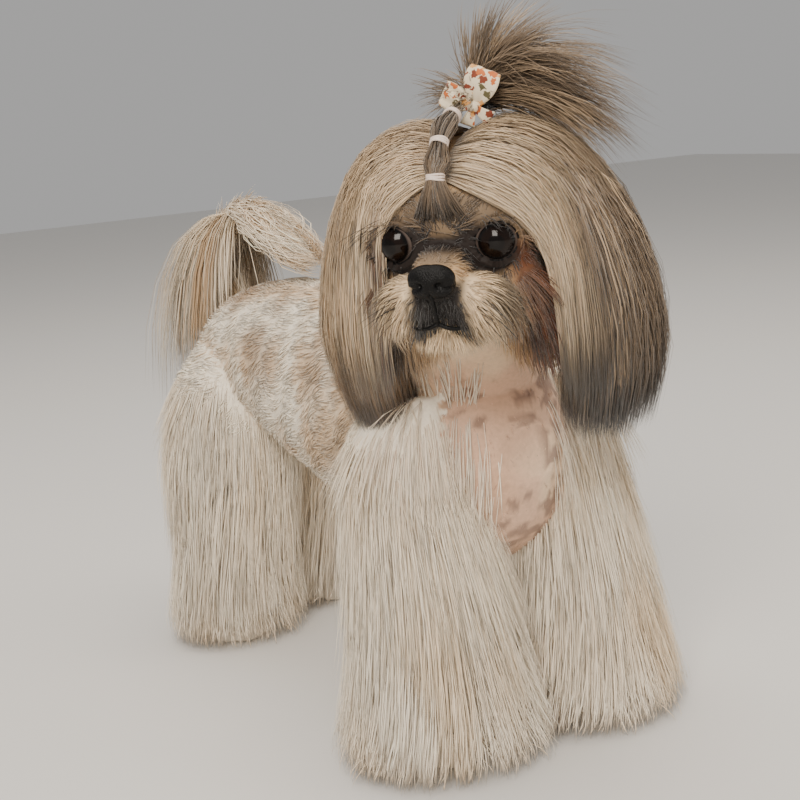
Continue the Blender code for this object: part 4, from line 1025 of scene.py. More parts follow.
def crown_coat(side, count):
    stations = 6
    guides = crown_guides(side)
    across = draw.beta(0.85, 1.1, count)
    columns = np.moveaxis(guides, 0, 1)[None]
    spread = along(np.broadcast_to(columns, (count, *columns.shape[1:])), across[:, None, None])[:, :, 0]
    first = draw.uniform(0.0, 0.50, count) ** 1.5
    last = np.clip(first + draw.uniform(0.40, 0.95, count), 0, draw.uniform(0.88, 1.0, count))
    share = steps(stations)[None]
    place = first[:, None] + (last - first)[:, None] * share
    paths = along(spread, place)
    middle = np.array([side * 0.045, 0.004, -0.01])
    out = unit(paths - np.where(paths[..., 2:] > 0.0, np.array([side * 0.012, 0.004, 0.0]), middle))
    sink = draw.uniform(0, 1, count)[:, None, None] ** 1.3 * 0.0070
    ease = (1 - (1 - share) ** 4)[..., None]
    paths = paths - out * (sink * ease + 0.0045 * (1 - ease))
    wisp = gathered(paths, count // 20, 0.45)
    stray(paths, 0.0011)
    light = by_wisp(wisp)
    fine = draw.random(count)
    back = ramp(across + 0.10 * (fine - 0.5), 0.12, 0.42)
    root = mix(mix(each_of(count, FAWN), CREAM * 0.9, light), TAN, 0.10 + back * 0.20)
    root = mix(root, TAUPE * 0.8, ramp(fine, 0.50, 0.90) * (0.30 + 0.55 * back))
    if side == 1:
        tip = mix(each_of(count, FAWN * 0.95), CREAM * 0.85, light)
        tip = mix(tip, TAUPE * 0.55, 0.15 + 0.85 * back)
        tip = mix(tip, SMOKE * 0.6, ramp(light, 0.50, 0.85) * back * 0.8)
        tip = mix(tip, FAWN * 0.9, ramp(fine, 0.84, 0.97) * 0.7)
    else:
        tip = mix(mix(each_of(count, CREAM * 0.9), FAWN, light), TAN * 0.8, 0.3 * back)
        tip = mix(tip, TAUPE * 0.8, ramp(fine, 0.50, 0.95) * 0.5 + 0.35 * ramp(across, 0.45, 0.8))
        stain = 1 - ramp(across, 0.04, 0.22)
        tip = mix(tip, RUST * 0.6, stain * ramp(light, 0.25, 0.6) * 0.85)
    tints = mix(root[:, None], tip[:, None], ramp(place, 0.16, 0.60))
    dark_end = SOOT if side == 1 else SMOKE * 0.7
    tints = mix(tints, dark_end[None, None], ramp(place, 0.74, 0.92) * (0.95 if side == 1 else 0.6))
    tints = tints * tinted(np.ones(3), np.ones(3), stations, count, wisp, 0.10)
    widths = draw.uniform(0.00026, 0.00050, count)
    name = "coat_crown_left" if side == 1 else "coat_crown_right"
    turned_out = turned(out)
    coat(name, to_body(paths), turned_out, widths, tints, thick=0.35)


# Down the nape: the share of the hair's place across, and how far back and how high it is
NAPE = np.array([
    (0.70, -0.026, 0.040), (0.85, -0.010, 0.034), (1.0, 0.002, 0.018),
    (1.05, 0.004, -0.008), (1.08, 0.001, -0.038),
])


def nape_coat(count):
    """Hair from the back of the crown down over the neck."""
    stations = 7
    across = draw.uniform(-1, 1, count)
    x = across * 0.044
    back = 0.054 - 7.0 * x * x
    share = steps(stations)[None]
    start = draw.uniform(0.0, 0.5, count)
    reach = draw.uniform(0.7, 1.0, count)[:, None]
    rows = along(NAPE, start[:, None] + (1 - start)[:, None] * share * reach)
    paths = np.stack([x[:, None] * rows[..., 0], back[:, None] + rows[..., 1], rows[..., 2]], -1)
    out = unit(np.stack([across * 0.8, np.full(count, 1.0), np.full(count, 0.2)], 1))[:, None]
    paths = paths - out * draw.uniform(0, 0.006, count)[:, None, None]
    wisp = gathered(paths, count // 22, 0.5)
    stray(paths, 0.0012)
    tints = tinted(FAWN, TAUPE, stations, count, wisp, 0.11)
    widths = draw.uniform(0.0005, 0.0008, count)
    coat("coat_nape", to_body(paths), turned(out), widths, tints)


# The topknot
def braid_coat(count):
    """Hair drawn up from the brow in a fan, and on through the elastics in small puffs."""
    stations = 6
    rows = along(BRAID, np.linspace(0, 1, 60))
    path = np.stack([np.zeros(60), rows[:, 0], rows[:, 1]], 1)
    way = unit(np.gradient(path, axis=0))
    third = np.cross(way, ACROSS)
    first = draw.uniform(0.0, 0.75, count)
    first = np.where(draw.random(count) < 0.45, draw.uniform(0, 0.12, count), first)
    last = np.minimum(first + draw.uniform(0.22, 0.45, count), 1.0)
    angle = draw.uniform(0, 2 * math.pi, count)
    share = steps(stations)[None]
    place = first[:, None] + (last - first)[:, None] * share
    table = np.concatenate([path, third, rows[:, 2:]], 1)
    found = along(table, place)
    layer = draw.uniform(0.3, 0.85, count)[:, None]
    centre, normal = found[..., :3], found[..., 3:6]
    wide, thick = found[..., 6] * layer, found[..., 7] * layer
    turn = angle[:, None] + 0.5 * place
    paths = centre + ACROSS * (wide * np.cos(turn))[..., None]
    paths = paths + normal * (thick * np.sin(turn))[..., None]
    out = unit(paths - centre)
    wisp = gathered(paths, count // 14, 0.3)
    stray(paths, 0.0004)
    tints = tinted(SMOKE * 1.15, TAUPE * 0.95, stations, count, wisp, 0.16)
    widths = draw.uniform(0.00032, 0.00055, count)
    coat("coat_topknot", to_body(paths), turned(out), widths, tints)


SPRAYS = [
    # strands, length, way they leave, way they end, spread
    (260, 0.046, (0.12, 0.10, 1.0), (0.38, 0.45, 0.8), 0.24),
    (300, 0.062, (0.30, 0.20, 1.0), (0.80, 0.30, 0.15), 0.22),
    (420, 0.092, (0.55, 0.25, 0.80), (0.95, 0.20, -0.75), 0.22),
    (380, 0.090, (0.85, 0.30, 0.45), (0.75, 0.15, -1.0), 0.22),
    (420, 0.084, (0.95, 0.15, 0.22), (0.80, 0.05, -0.85), 0.20),
    (220, 0.052, (0.10, 0.90, 0.55), (0.20, 0.95, -0.60), 0.34),
    (150, 0.034, (-0.80, 0.30, 0.50), (-0.85, 0.25, -0.30), 0.30),
    (100, 0.024, (-0.20, -0.60, 0.60), (-0.20, -0.70, 0.10), 0.35),
]


def spray_coat():
    stations = 6
    share = steps(stations)[None, :, None]
    paths = []
    for count, length, leave, arrive, spread in SPRAYS:
        scatter = draw.normal(size=(count, 3)) * spread
        start = unit(np.array(leave) + scatter * 0.7)[:, None]
        stop = unit(np.array(arrive) + scatter)[:, None]
        reach = (length * draw.uniform(0.55, 1.0, count))[:, None, None]
        root = SPRAY_ROOT + draw.normal(size=(count, 3)) * 0.0022
        curve = 1.15 * start * (share - share**2 / 2) + 0.65 * stop * share**2
        paths.append(root[:, None] + reach * curve)
    paths = np.concatenate(paths)
    count = len(paths)
    wisp = gathered(paths, count // 12, 0.35)
    stray(paths, 0.0024)
    out = unit(paths - SPRAY_ROOT)
    out = unit(out + np.array([0, 0, 0.6]))
    light = by_wisp(wisp)
    root = mix(each_of(count, SMOKE * 1.2), TAUPE * 1.1, light)
    tip = mix(each_of(count, TAUPE * 0.9), FAWN * 0.9, ramp(light, 0.5, 1.0))
    tints = tinted(root, tip, stations, count, wisp, 0.14)
    widths = draw.uniform(0.00020, 0.00040, count)
    coat("coat_spray", to_body(paths), turned(out), widths, tints)


# The tail
BEND_STRANDS, TIP_STRANDS, TAIL_STRANDS = 190, 130, 1500
BEND_PLUME = [
    # place along the tail, turn from backwards in degrees, how far out, how far down
    (0.22, -40, 0.030, 0.080),
    (0.24, -38, 0.034, 0.086),
    (0.26, 0, 0.032, 0.100),
    (0.28, 50, 0.040, 0.108),
    (0.30, 96, 0.044, 0.104),
    (0.32, -66, 0.036, 0.086),
    (0.335, 24, 0.050, 0.126),
    (0.35, 72, 0.060, 0.136),
    (0.365, -18, 0.046, 0.108),
    (0.375, 110, 0.050, 0.116),
    (0.385, 50, 0.072, 0.124),
]
TIP_PLUME = [
    # place along the tail, how far out, how far down
    (0.40, 0.014, 0.006), (0.44, 0.020, 0.010), (0.49, 0.022, 0.014),
    (0.55, 0.012, 0.004), (0.60, 0.018, 0.010),
]


def tail_place(share):
    """The middle of the tail at shares of its line, and its half thickness."""
    rows = along(TAIL, share)
    return np.stack([np.zeros(rows.shape[:-1]), rows[..., 0], rows[..., 1]], -1), rows[..., 2]


def tail_coat():
    stations = 6
    share = steps(stations)[None, :, None]
    groups, outs = [], []
    each = BEND_STRANDS
    for place, turn, reach, fall in BEND_PLUME:
        root, thick = tail_place(np.clip(place + draw.normal(size=each) * 0.025, 0.12, 0.42))
        turn = np.radians(turn + draw.normal(size=each) * 20)
        way = np.stack([-np.sin(turn), np.cos(turn), np.zeros(each)], 1)
        scale = draw.uniform(0.45, 1.0, each)[:, None, None]
        root = root + way * thick[:, None] * 0.4
        rise = 0.030 * share - (fall + 0.030) * share**1.8
        path = root[:, None] + way[:, None] * reach * (1 - (1 - share) ** 1.7) * scale
        path = path + np.array([0, 0, 1.0]) * rise * scale
        groups.append(path)
        outs.append(np.repeat(unit(way + (0, 0, 0.8))[:, None], stations, 1))
    for place, bow_out, hang in TIP_PLUME:
        for side in (1, -1):
            count = TIP_STRANDS
            start = place + draw.uniform(-0.03, 0.05, count)
            length = draw.uniform(0.20, 0.36, count)
            along_tail = start[:, None] + length[:, None] * steps(stations)[None]
            middle, thick = tail_place(along_tail)
            bulge = np.sin(np.pi * (0.9 * steps(stations) + 0.05))[None]
            wide = bow_out * draw.uniform(0.1, 1.05, count)[:, None]
            level = middle[..., 2] + thick * draw.uniform(0.2, 1.1, count)[:, None]
            level = level - hang * bulge * draw.uniform(0.3, 1.1, count)[:, None]
            path = np.stack([side * wide * bulge, middle[..., 1], np.maximum(level, 0.2520)], -1)
            groups.append(path)
            outs.append(np.broadcast_to(unit(np.array([side * 0.5, 0, 1.0])), path.shape))
    # Short hair all along the tail
    count = TAIL_STRANDS
    start = draw.uniform(0.0, 0.62, count)
    along_tail = start[:, None] + draw.uniform(0.10, 0.16, count)[:, None] * steps(stations)[None]
    middle, thick = tail_place(along_tail)
    angle = draw.uniform(0, 2 * math.pi, count)[:, None]
    step = unit(np.gradient(middle, axis=1))
    third = np.cross(step, ACROSS)
    radius = thick * (0.65 + 0.45 * steps(stations)[None])
    offset = ACROSS * (radius * np.cos(angle))[..., None] + third * (radius * np.sin(angle))[..., None]
    groups.append(middle + offset)
    outs.append(unit(offset))
    paths, out = np.concatenate(groups), np.concatenate(outs)
    total = len(paths)
    wisp = gathered(paths, total // 22, 0.40)
    stray(paths, 0.0030)
    streak = by_wisp(wisp)
    root = mix(each_of(total, CREAM), TAN, ramp(streak, 0.55, 1.0) * 0.8)
    tip = mix(each_of(total, WHITE), SAND, ramp(streak, 0.4, 1.0))
    tints = tinted(root, tip, stations, total, wisp, 0.06)
    # Painted shade: the strands under the plume near its root, where it arches over the rump, are darkened
    # towards taupe
    inner = np.clip(1 - np.abs(paths[..., 1] - 0.176) / 0.012, 0, 1) * ramp(0.272 - paths[..., 2], 0, 0.015)
    tints = mix(tints, TAUPE[None, None] * 0.6, inner * 0.8)
    widths = draw.uniform(0.00026, 0.00052, total)
    coat("coat_tail", paths, out, widths, tints, thick=0.35)


# Short coats
def laid(places, normals, flow, length, lift, stations):
    """Short tufts from places on the skin, lying along flow."""
    flow = unit(flow - normals * (flow * normals).sum(-1, keepdims=True))
    share = steps(stations)[None, :, None]
    rise = lift[:, None, None] * share * (1.25 - share * 0.75)
    paths = places[:, None] + (flow[:, None] * share + normals[:, None] * rise) * length[:, None, None]
    return paths - normals[:, None] * 0.0004


def body_coat(count):
    names = skin.face_names
    centres = skin.points[skin.triangles].mean(1)
    own = np.isin(names, ["trunk", "neck"]) | (np.isin(names, list(FEET)) & (centres[:, 2] > 0.150))
    chest = ramp(-centres[:, 1], 0.110, 0.140) * ramp(0.262 - centres[:, 2], 0.0, 0.03)
    weights = own * (1 - 0.45 * chest)
    places, normals, faces = skin.scatter(count, weights)
    x, y, z = places.T
    chest = ramp(-y, 0.100, 0.135) * ramp(0.262 - z, 0.0, 0.03)
    flow = np.stack([0.15 * np.sign(x) * (z < 0.2), np.full(count, 0.9), np.full(count, -0.55)], 1)
    flow += (chest * 1.2)[:, None] * np.array([0, -0.5, -1.0])
    waves = blotch(places, 0.009, 51, 1)
    flow += np.cross(normals, flow) * (waves * 0.55)[:, None]
    flow += draw.normal(size=(count, 3)) * 0.16
    near_leg = ramp(0.19 - z, 0.0, 0.05) * ramp(np.abs(x), 0.040, 0.055)
    length = draw.uniform(0.0075, 0.0125, count) * (1 - 0.60 * chest) * (1 + 0.4 * near_leg)
    lift = draw.uniform(0.12, 0.42, count) * (1 - 0.55 * chest)
    paths = laid(places, normals, flow, length, lift, 3)
    wisp = gathered(paths, count // 14, 0.45, 1.2)
    tint = body_tint(places)
    limb = np.isin(names[faces], list(FEET)) * ramp(0.190 - z + 0.4 * np.abs(y), 0.0, 0.03)
    tint = mix(tint, WHITE, limb)
    tints = tinted(tint * 0.92, tint * 1.08, 3, count, wisp, 0.05)
    widths = draw.uniform(0.00036, 0.00062, count) * (1 - 0.25 * chest)
    coat("coat_body", paths, normals[:, None], widths, tints, faces)


def fringe_coat(count):
    """Longer hair from the shoulders and hips, which runs into the coat of the legs."""
    names = skin.face_names
    x, y, z = skin.points[skin.triangles].mean(1).T
    off = np.abs(x)
    front = ramp(off, 0.012, 0.040) * ramp(-y, 0.075, 0.110)
    front = front * ramp(z, 0.140, 0.165) * ramp(0.240 - z, 0, 0.05)
    back = ramp(off, 0.022, 0.044) * ramp(y, 0.085, 0.120)
    back = back * ramp(z, 0.150, 0.170) * ramp(0.215 - z, 0, 0.035)
    trunk = np.isin(names, ["trunk", "neck"])
    limb = np.isin(names, list(FEET)) * ramp(z, 0.120, 0.150)
    places, normals, faces = skin.scatter(count, trunk * (front + 0.7 * back) + 1.3 * limb)
    x, y, z = places.T
    flow = np.stack([0.12 * np.sign(x), 0.04 * np.sign(y), np.full(count, -1.6)], 1)
    flow += draw.normal(size=(count, 3)) * 0.08
    throat = ramp(z, 0.205, 0.235)
    length = draw.uniform(0.024, 0.050, count) * (1 - 0.68 * throat)
    paths = laid(places, normals, flow, length, draw.uniform(0.03, 0.10, count), 5)
    paths[..., 2] -= (0.35 * length)[:, None] * np.linspace(0, 1, 5) ** 2
    wisp = gathered(paths, count // 20, 0.35)
    stray(paths, 0.0012)
    tint = mix(body_tint(places), WHITE, draw.uniform(0.3, 1.0, count))
    tints = tinted(tint, mix(WHITE, CREAM, draw.uniform(0, 0.6, count)), 5, count, wisp, 0.04)
    widths = draw.uniform(0.00022, 0.00044, count)
    coat("coat_fringe", paths, normals[:, None], widths, tints, faces, 0.35)


def face_coat(count):
    names = skin.face_names
    centres = to_head(skin.points[skin.triangles].mean(1))
    x, y, z = centres.T
    own = (names == "head") * ramp(0.020 - y, 0, 0.01)
    eyes = np.stack([np.abs(x) - EYE_PLACE[0], y - EYE_PLACE[1] + 0.006, z - EYE_PLACE[2]], 1)
    eyes = np.linalg.norm(eyes, axis=1)
    fine = 1 + 2.5 * (1 - ramp(eyes, 0.016, 0.028)) + 1.5 * ramp(-y, 0.050, 0.060)
    leather = np.linalg.norm((centres - NOSE_PLACE) / (NOSE_SIZE * 1.12), axis=1) < 1
    weights = own * fine * ~leather
    for side in (1, -1):
        local = placed(centres, eye_matrix(side).inverted())
        radius = np.linalg.norm(local, axis=1)
        off = np.arccos(np.clip(-local[:, 1] / np.maximum(radius, 1e-6), -1, 1))
        inside = (radius < EYE_RADIUS + 0.005) & (off < lid_edge(np.arctan2(local[:, 2], local[:, 0])) + 0.10)
        weights = weights * ~inside
    places, normals, faces = skin.scatter(count, weights)
    local = to_head(places)
    turn = np.array(HEAD.inverted())[:3, :3]
    normals_in = normals @ turn.T
    x, y, z = local.T
    side = np.sign(x)
    nose = local - np.array([0, -0.0790, -0.0040])
    flow = unit(nose) + np.array([0, 0, -0.30])
    brow = ramp(z, 0.010, 0.020)
    flow += brow[:, None] * np.stack([side * 0.5, np.zeros(count), np.full(count, 0.8)], 1)
    cheek = ramp(np.abs(x), 0.018, 0.030) * ramp(0.006 - z, 0, 0.01)
    flow += cheek[:, None] * np.stack([side * -0.25, np.full(count, 0.35), np.full(count, -1.3)], 1)
    eye = np.stack([np.abs(x) - EYE_PLACE[0], y - EYE_PLACE[1], z - EYE_PLACE[2]], 1)
    close = 1 - ramp(np.linalg.norm(eye, axis=1), 0.014, 0.020)
    eye[:, 0] *= side
    flow = flow * (1 - close)[:, None] + unit(eye) * close[:, None] * 1.2
    flow += draw.normal(size=(count, 3)) * 0.16
    far = np.linalg.norm(nose, axis=1)
    length = 0.004 + 0.016 * ramp(far, 0.012, 0.045)
    length += 0.005 * cheek * ramp(-z, 0.005, 0.020)
    chin = ramp(-z, 0.030, 0.040) * ramp(-y, 0.030, 0.045)
    length = length * (1 - 0.60 * chin) * (1 - 0.55 * close) * draw.uniform(0.7, 1.1, count)
    length *= 1 - 0.45 * brow
    lift = 0.16 + 0.20 * ramp(-y, 0.050, 0.062) + draw.uniform(-0.06, 0.12, count)
    paths = laid(local, normals_in, flow, length, lift, 4)
    share = np.linspace(0, 1, 4)[None, :]
    paths[..., 2] -= (0.28 * length)[:, None] * share**2
    wisp = gathered(paths, count // 12, 0.35)
    stray(paths, 0.0007)
    tint = face_tint(local)
    tints = tinted(tint * 0.92, tint * 1.08, 4, count, wisp, 0.09)
    widths = draw.uniform(0.00018, 0.00034, count)
    coat("coat_face", to_body(paths), normals[:, None], widths, tints, faces)


def whiskers():
    """Long dark lashes and brow hairs, and a few whiskers on the muzzle."""
    stations = 8
    share = steps(stations)[None, :, None]
    roots, ways, lengths = [], [], []
    for side in (1, -1):
        for _ in range(9):
            roots.append((side * draw.uniform(0.020, 0.034), -0.050, draw.uniform(0.012, 0.018)))
            ways.append((side * draw.uniform(0.5, 1.1), -0.75, draw.uniform(-0.35, 0.15)))
            lengths.append(draw.uniform(0.014, 0.026) if side == -1 else draw.uniform(0.007, 0.012))
        for _ in range(8):
            roots.append((side * draw.uniform(0.010, 0.020), -0.066, draw.uniform(-0.024, -0.014)))
            ways.append((side * 1.0, -0.35, draw.uniform(-0.5, 0.1)))
            lengths.append(draw.uniform(0.016, 0.028))
    roots, ways, lengths = np.array(roots), unit(np.array(ways)), np.array(lengths)
    count = len(roots)
    paths = roots[:, None] + ways[:, None] * lengths[:, None, None] * share
    paths[..., 2] -= (lengths * 0.35)[:, None] * share[..., 0] ** 2
    stray(paths, 0.0010)
    tints = tinted(SOOT, SOOT * 1.3, stations, count)
    out = np.broadcast_to(np.array([0, -0.5, 1.0]), paths.shape)
    coat("whiskers", to_body(paths), turned(out), np.full(count, 0.00022), tints)


# Eyes, nose and what the dog wears
def solid_piece(name, points, faces, material, slot, *nodes, tint=None):
    mesh = bpy.data.meshes.new(name)
    mesh.from_pydata([tuple(p) for p in points + SHIFT], [], faces)
    mesh.update()
    if tint is not None:
        paint(mesh, tint)
    rider(link(name, mesh, material), slot, *nodes)


def rider(piece, slot, *nodes):
    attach(piece, "root")
    if nodes:
        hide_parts(*nodes)
    return piece


def make_eye(side, name, node):
    rings, sides = 40, 48
    points, faces = loft(ball_rings((0, 0, 0), (1, 1, 1), rings, sides))
    faces = outward(points, faces)
    # The poles lie along the way the eye looks
    points = points[:, [0, 2, 1]] * (1, -1, 1)
    off = np.arccos(np.clip(-points[:, 1], -1, 1))
    bulge = 1 + 0.055 * np.exp(-((off / 0.62) ** 2))
    iris = mix(each_of(len(points), shade(22, 13, 9)), shade(12, 8, 7), 1 - ramp(off, 0.30, 0.38))
    iris = mix(iris, shade(10, 8, 8), ramp(off, 0.66, 0.74))
    iris = mix(iris, shade(92, 80, 74), ramp(off, 0.84, 0.95))
    points = points * EYE_RADIUS * 0.992 * bulge[:, None]
    points = placed(points, HEAD @ eye_matrix(side))
    solid_piece(name, points, faces, make_eye_material(), "eye_gloss", node, tint=iris)


def make_nose():
    rings, sides = 44, 60
    points, faces = loft(ball_rings((0, 0, 0), (1, 1, 1), rings, sides))
    faces = outward(points, faces)
    x, y, z = points.T
    shape = np.ones(len(points))
    for side in (1, -1):
        # A nostril with the slit that runs back from it
        hole = np.exp(-(((x - side * 0.50) / 0.20) ** 2 + ((z + 0.10) / 0.24) ** 2))
        slit = np.exp(-(((x - side * 0.80) / 0.20) ** 2 + ((z + 0.34) / 0.13) ** 2))
        shape -= (0.42 * hole + 0.20 * slit) * (y < 0.2)
    shape -= 0.13 * np.exp(-((x / 0.07) ** 2)) * ramp(-z, -0.35, 0.2) * (y < 0)
    square = 1 + 0.10 * (np.abs(x * z) * 2) ** 1.0
    points = points * (shape * square)[:, None] * NOSE_SIZE * (0.98, 1.15, 1.0) + NOSE_PLACE
    solid_piece("nose_leather", to_body(points), faces, nose_material, "nose_leather", "nose")


def tube(path, radius, sides=10, closed=False):
    """(points, faces) of a round tube along a path, with radii that may vary."""
    path = np.asarray(path, float)
    count = len(path)
    radius = np.broadcast_to(radius, count)
    way = np.gradient(path, axis=0)
    if closed:
        way = np.roll(path, -1, 0) - np.roll(path, 1, 0)
    way = unit(way)
    guide = np.array([0.31, 0.17, 0.93])
    side = unit(np.cross(way, guide))
    third = np.cross(way, side)
    turn = turn_angles(sides)
    ring = np.cos(turn)[None, :, None] * side[:, None] + np.sin(turn)[None, :, None] * third[:, None]
    rings = path[:, None] + ring * radius[:, None, None]
    if not closed:
        return loft(rings)
    points = rings.reshape(-1, 3)
    faces = []
    for i in range(count):
        after = (i + 1) % count
        for j in range(sides):
            k = (j + 1) % sides
            faces.append((i * sides + j, i * sides + k, after * sides + k, after * sides + j))
    return points, faces


def joined(parts):
    points, faces, start = [], [], 0
    for more, more_faces in parts:
        faces += [tuple(int(v) + start for v in f) for f in outward(more, more_faces)]
        points.append(more)
        start += len(more)
    return np.vstack(points), faces


def make_lips():
    """The dark line of the mouth, and the rims of the lids."""
    parts = []
    for side in (1, -1):
        curve = along(np.array([
            (0.000, -0.0705, -0.0290),
            (side * 0.006, -0.0700, -0.0315),
            (side * 0.013, -0.0655, -0.0325),
            (side * 0.020, -0.0560, -0.0320),
        ]), np.linspace(0, 1, 14))
        parts.append(tube(curve, np.linspace(0.0012, 0.0007, 14), 8))
        angles = turn_angles(48)
        off = lid_edge(angles) + 0.03
        ring = np.stack([np.sin(off) * np.cos(angles), -np.cos(off), np.sin(off) * np.sin(angles)], 1)
        ring = ring * (EYE_RADIUS + 0.0003)
        parts.append(tube(placed(ring, eye_matrix(side)), 0.00050, 8, True))
    line = along([(0, -0.0775, -0.0130), (0, -0.0745, -0.0200), (0, -0.0710, -0.0285)], steps(8))
    parts.append(tube(line, 0.0010, 8))
    points, faces = joined(parts)
    solid_piece("lips_and_lid_rims", to_body(points), faces, nose_material, "nose_leather")


def make_band(index, row):
    """A thin elastic wound twice round the gathered hair."""
    y, z, wide, thick = BRAID[row]
    before, after = BRAID[row - 1], BRAID[row + 1]
    slope = math.atan2(after[1] - before[1], after[0] - before[0]) - math.pi / 2
    parts = []
    for turn_index in range(3):
        angles = turn_angles(40)
        height = (turn_index - 1) * 0.0011 + 0.0003 * np.sin(angles * 2 + turn_index)
        ring = np.stack([(wide - 0.0004) * np.cos(angles), (thick - 0.0004) * np.sin(angles), height], 1)
        parts.append(tube(ring, 0.00062, 8, True))
    points, faces = joined(parts)
    points = placed(points, HEAD @ Matrix.Translation((0, y, z)) @ Matrix.Rotation(slope, 4, "X"))
    solid_piece("elastic_%d" % index, points, faces, band_material, "band_rubber", "band_%d" % index)


BOW_LOOPS = [
    # way from the knot, length, half width at its widest, fullness
    ((0.42, -0.10, 0.90), 0.0195, 0.0080, 0.0042),
    ((-0.86, -0.10, 0.50), 0.0170, 0.0062, 0.0036),
]


def make_bow():
    parts = []
    for way, length, wide, full in BOW_LOOPS:
        way = unit(np.array(way))
        flat = unit(np.cross(way, (0, 1, 0)))
        deep = np.cross(way, flat)
        t = np.linspace(0, 2 * math.pi, 41)
        reach = length * (1 - np.cos(t)) / 2
        open_by = full * np.sin(t) * (0.5 + 0.5 * np.sin(t / 2))
        breadth = wide * (0.22 + 0.78 * np.sin(np.pi * np.clip(reach / length, 0, 1) * 0.62) ** 0.9)
        rows = []
        for across in np.linspace(-1, 1, 11):
            fold = 0.0008 * math.cos(across * 7) * np.sin(t / 2)
            rows.append(
                BOW_PLACE
                + np.outer(reach, way)
                + np.outer(across * breadth * (1 + 0.10 * np.sin(t)), flat)
                + np.outer(open_by + fold, deep)
            )
        parts.append(ribbon(np.array(rows)))
    for way, length in (((0.75, -0.25, -0.55), 0.011), ((-0.35, -0.30, -0.80), 0.010)):
        way = unit(np.array(way))
        flat = unit(np.cross(way, (0, 1, 0)))
        t = np.linspace(0, 1, 9)
        curve = BOW_PLACE + np.outer(t * length, way) + np.outer(-0.0022 * np.sin(t * 3), (0, 1, 0))
        half = 0.0014 + 0.0026 * t
        grid = [curve + np.outer(across * half, flat) for across in np.linspace(-1, 1, 7)]
        parts.append(ribbon(np.array(grid)))
    parts.append(loft(ball_rings(BOW_PLACE + (0, -0.0012, 0), (0.0032, 0.0034, 0.0036), 14, 20)))
    points, faces = joined(parts)
    solid_piece("bow_ribbon", to_body(points), faces, make_bow_material(), "bow_cloth", "bow")


def ribbon(grid, thickness=0.0004):
    """A closed thin sheet round a grid of places, (across, along, 3)."""
    down = np.gradient(grid, axis=1)
    over = np.gradient(grid, axis=0)
    normal = unit(np.cross(down, over))
    rows, columns = grid.shape[:2]
    top = (grid + normal * thickness / 2).reshape(-1, 3)
    bottom = (grid - normal * thickness / 2).reshape(-1, 3)
    size = rows * columns
    faces = []
    for i in range(rows - 1):
        for j in range(columns - 1):
            a, b = i * columns + j, i * columns + j + 1
            c, d = b + columns, a + columns
            faces += [(a, b, c, d), (size + d, size + c, size + b, size + a)]
    edge = [(0, j) for j in range(columns)] + [(i, columns - 1) for i in range(1, rows)]
    edge += [(rows - 1, j) for j in range(columns - 2, -1, -1)] + [(i, 0) for i in range(rows - 2, 0, -1)]
    for (a, b), (c, d) in zip(edge, edge[1:] + edge[:1]):
        first, second = a * columns + b, c * columns + d
        faces.append((second, first, size + first, size + second))
    return np.vstack([top, bottom]), faces


def make_skin_piece():
    mesh = triangle_mesh("skin", skin.points + SHIFT, skin.triangles)
    paint(mesh, skin_tint())
    layer = mesh.uv_layers.new(name="OFBake")
    corners = skin.points[skin.triangles].reshape(-1, 3)
    uv = skin.uv(corners, np.repeat(np.arange(len(skin.triangles)), 3))
    layer.data.foreach_set("uv", uv.astype(np.float32).ravel())
    nodes = ["torso", "neck", "head", "muzzle", "chin", "ear_left", "ear_right"]
    nodes += ["tail_root", "tail_bend", "tail_tip"]
    nodes += ["leg_" + name for name in FEET]
    rider(link("skin", mesh, make_skin_material()), "body_coat", *nodes)


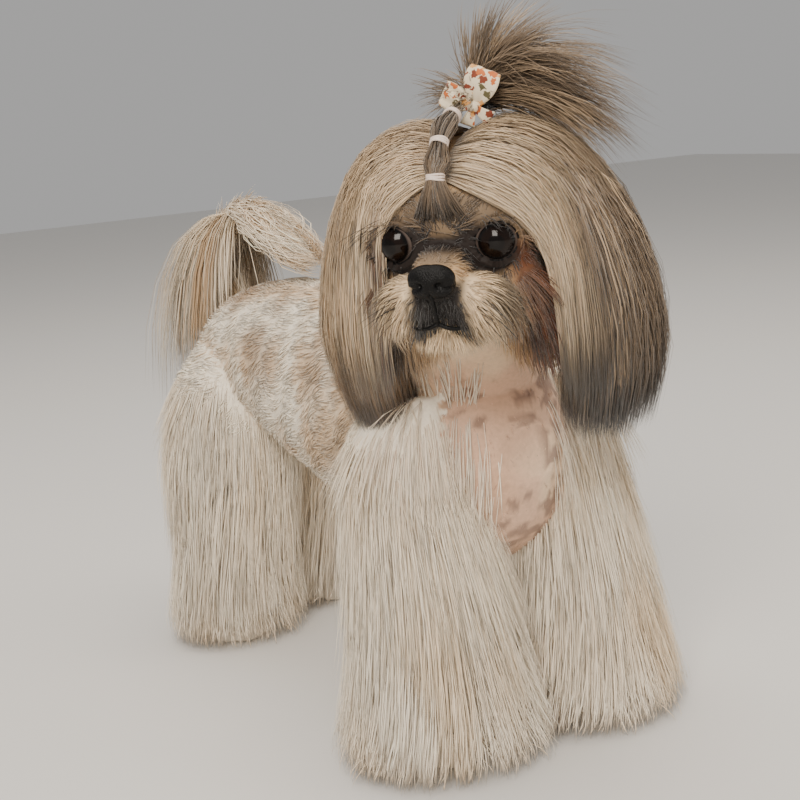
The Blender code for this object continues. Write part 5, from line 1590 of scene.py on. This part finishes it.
# The stage
def make_stage():
    mesh = bpy.data.meshes.new("floor")
    mesh.from_pydata([(-4, -4, 0), (4, -4, 0), (4, 4, 0), (-4, 4, 0)], [], [(0, 1, 2, 3)])
    made, nodes, links, shader = new_material("pale_floor")
    shader.inputs["Base Color"].default_value = (0.72, 0.70, 0.67, 1)
    shader.inputs["Roughness"].default_value = 0.6
    floor = link("floor", mesh, made, False)
    floor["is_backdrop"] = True
    world = bpy.data.worlds.new("studio")
    world.use_nodes = True
    world.node_tree.nodes["Background"].inputs["Color"].default_value = (0.84, 0.83, 0.82, 1)
    world.node_tree.nodes["Background"].inputs["Strength"].default_value = 0.50
    bpy.context.scene.world = world
    for name, place, size, power in (
        ("key", (-1.3, -1.5, 1.5), 1.0, 58),
        ("fill", (1.5, -1.1, 0.9), 1.6, 14),
        ("top", (0.1, 0.3, 1.9), 1.6, 26),
    ):
        lamp = bpy.data.lights.new(name, "AREA")
        lamp.size = size
        lamp.color = (1.0, 0.93, 0.84)
        lamp.energy = power
        made = bpy.data.objects.new(name, lamp)
        made.location = place
        aim = Vector((0, -0.05, 0.2)) - Vector(place)
        made.rotation_euler = aim.to_track_quat("-Z", "Y").to_euler()
        bpy.context.scene.collection.objects.link(made)


CAMERA_PLACE = np.array((-0.4635, -0.8006, 0.363))
CAMERA_WAY = (0.52, 0.854)
CAMERA_PITCH = math.radians(11.7)
CAMERA_ROLL = math.radians(4.3)


def make_camera():
    camera = bpy.data.cameras.new("photo_view")
    camera.sensor_width = 36
    camera.lens = 67.5
    camera.clip_start = 0.01
    flat = unit(np.array(CAMERA_WAY))
    forward = np.array((*(flat * math.cos(CAMERA_PITCH)), -math.sin(CAMERA_PITCH)))
    level = np.array((flat[1], -flat[0], 0.0))
    upright = np.cross(level, forward)
    up = math.cos(CAMERA_ROLL) * upright + math.sin(CAMERA_ROLL) * level
    right = math.cos(CAMERA_ROLL) * level - math.sin(CAMERA_ROLL) * upright
    made = bpy.data.objects.new("photo_view", camera)
    matrix = Matrix.Identity(4)
    for i, column in enumerate((right, up, -forward, CAMERA_PLACE + SHIFT)):
        for j in range(3):
            matrix[j][i] = float(column[j])
    made.matrix_world = matrix
    bpy.context.scene.collection.objects.link(made)
    bpy.context.scene.camera = made


hair_material = make_hair_material()
nose_material = make_nose_material()
band_material = make_band_material()
skin = Skin()
make_skin_piece()
for limb in ("fore_right", "fore_left", "hind_right", "hind_left"):
    leg_coat(limb, STRANDS[limb])
for which in (1, -1):
    ear_coat(which, STRANDS["ear"])
    crown_coat(which, STRANDS["crown"])
nape_coat(STRANDS["nape"])
braid_coat(STRANDS["braid"])
spray_coat()
tail_coat()
fringe_coat(STRANDS["fringe"])
body_coat(STRANDS["body"])
face_coat(STRANDS["face"])
whiskers()
make_eye(1, "eyeball_left", "eye_left")
make_eye(-1, "eyeball_right", "eye_right")
make_nose()
make_lips()
for number, row in enumerate(BAND_ROWS, 1):
    make_band(number, row)
make_bow()
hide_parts("topknot_braid", "topknot_spray")
make_stage()
make_camera()

new_box = [list(corner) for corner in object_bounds()]
'{"cad": %s, "visual": %s}' % ([[float(v) for v in c] for c in cad_box], [[float(v) for v in c] for c in new_box])
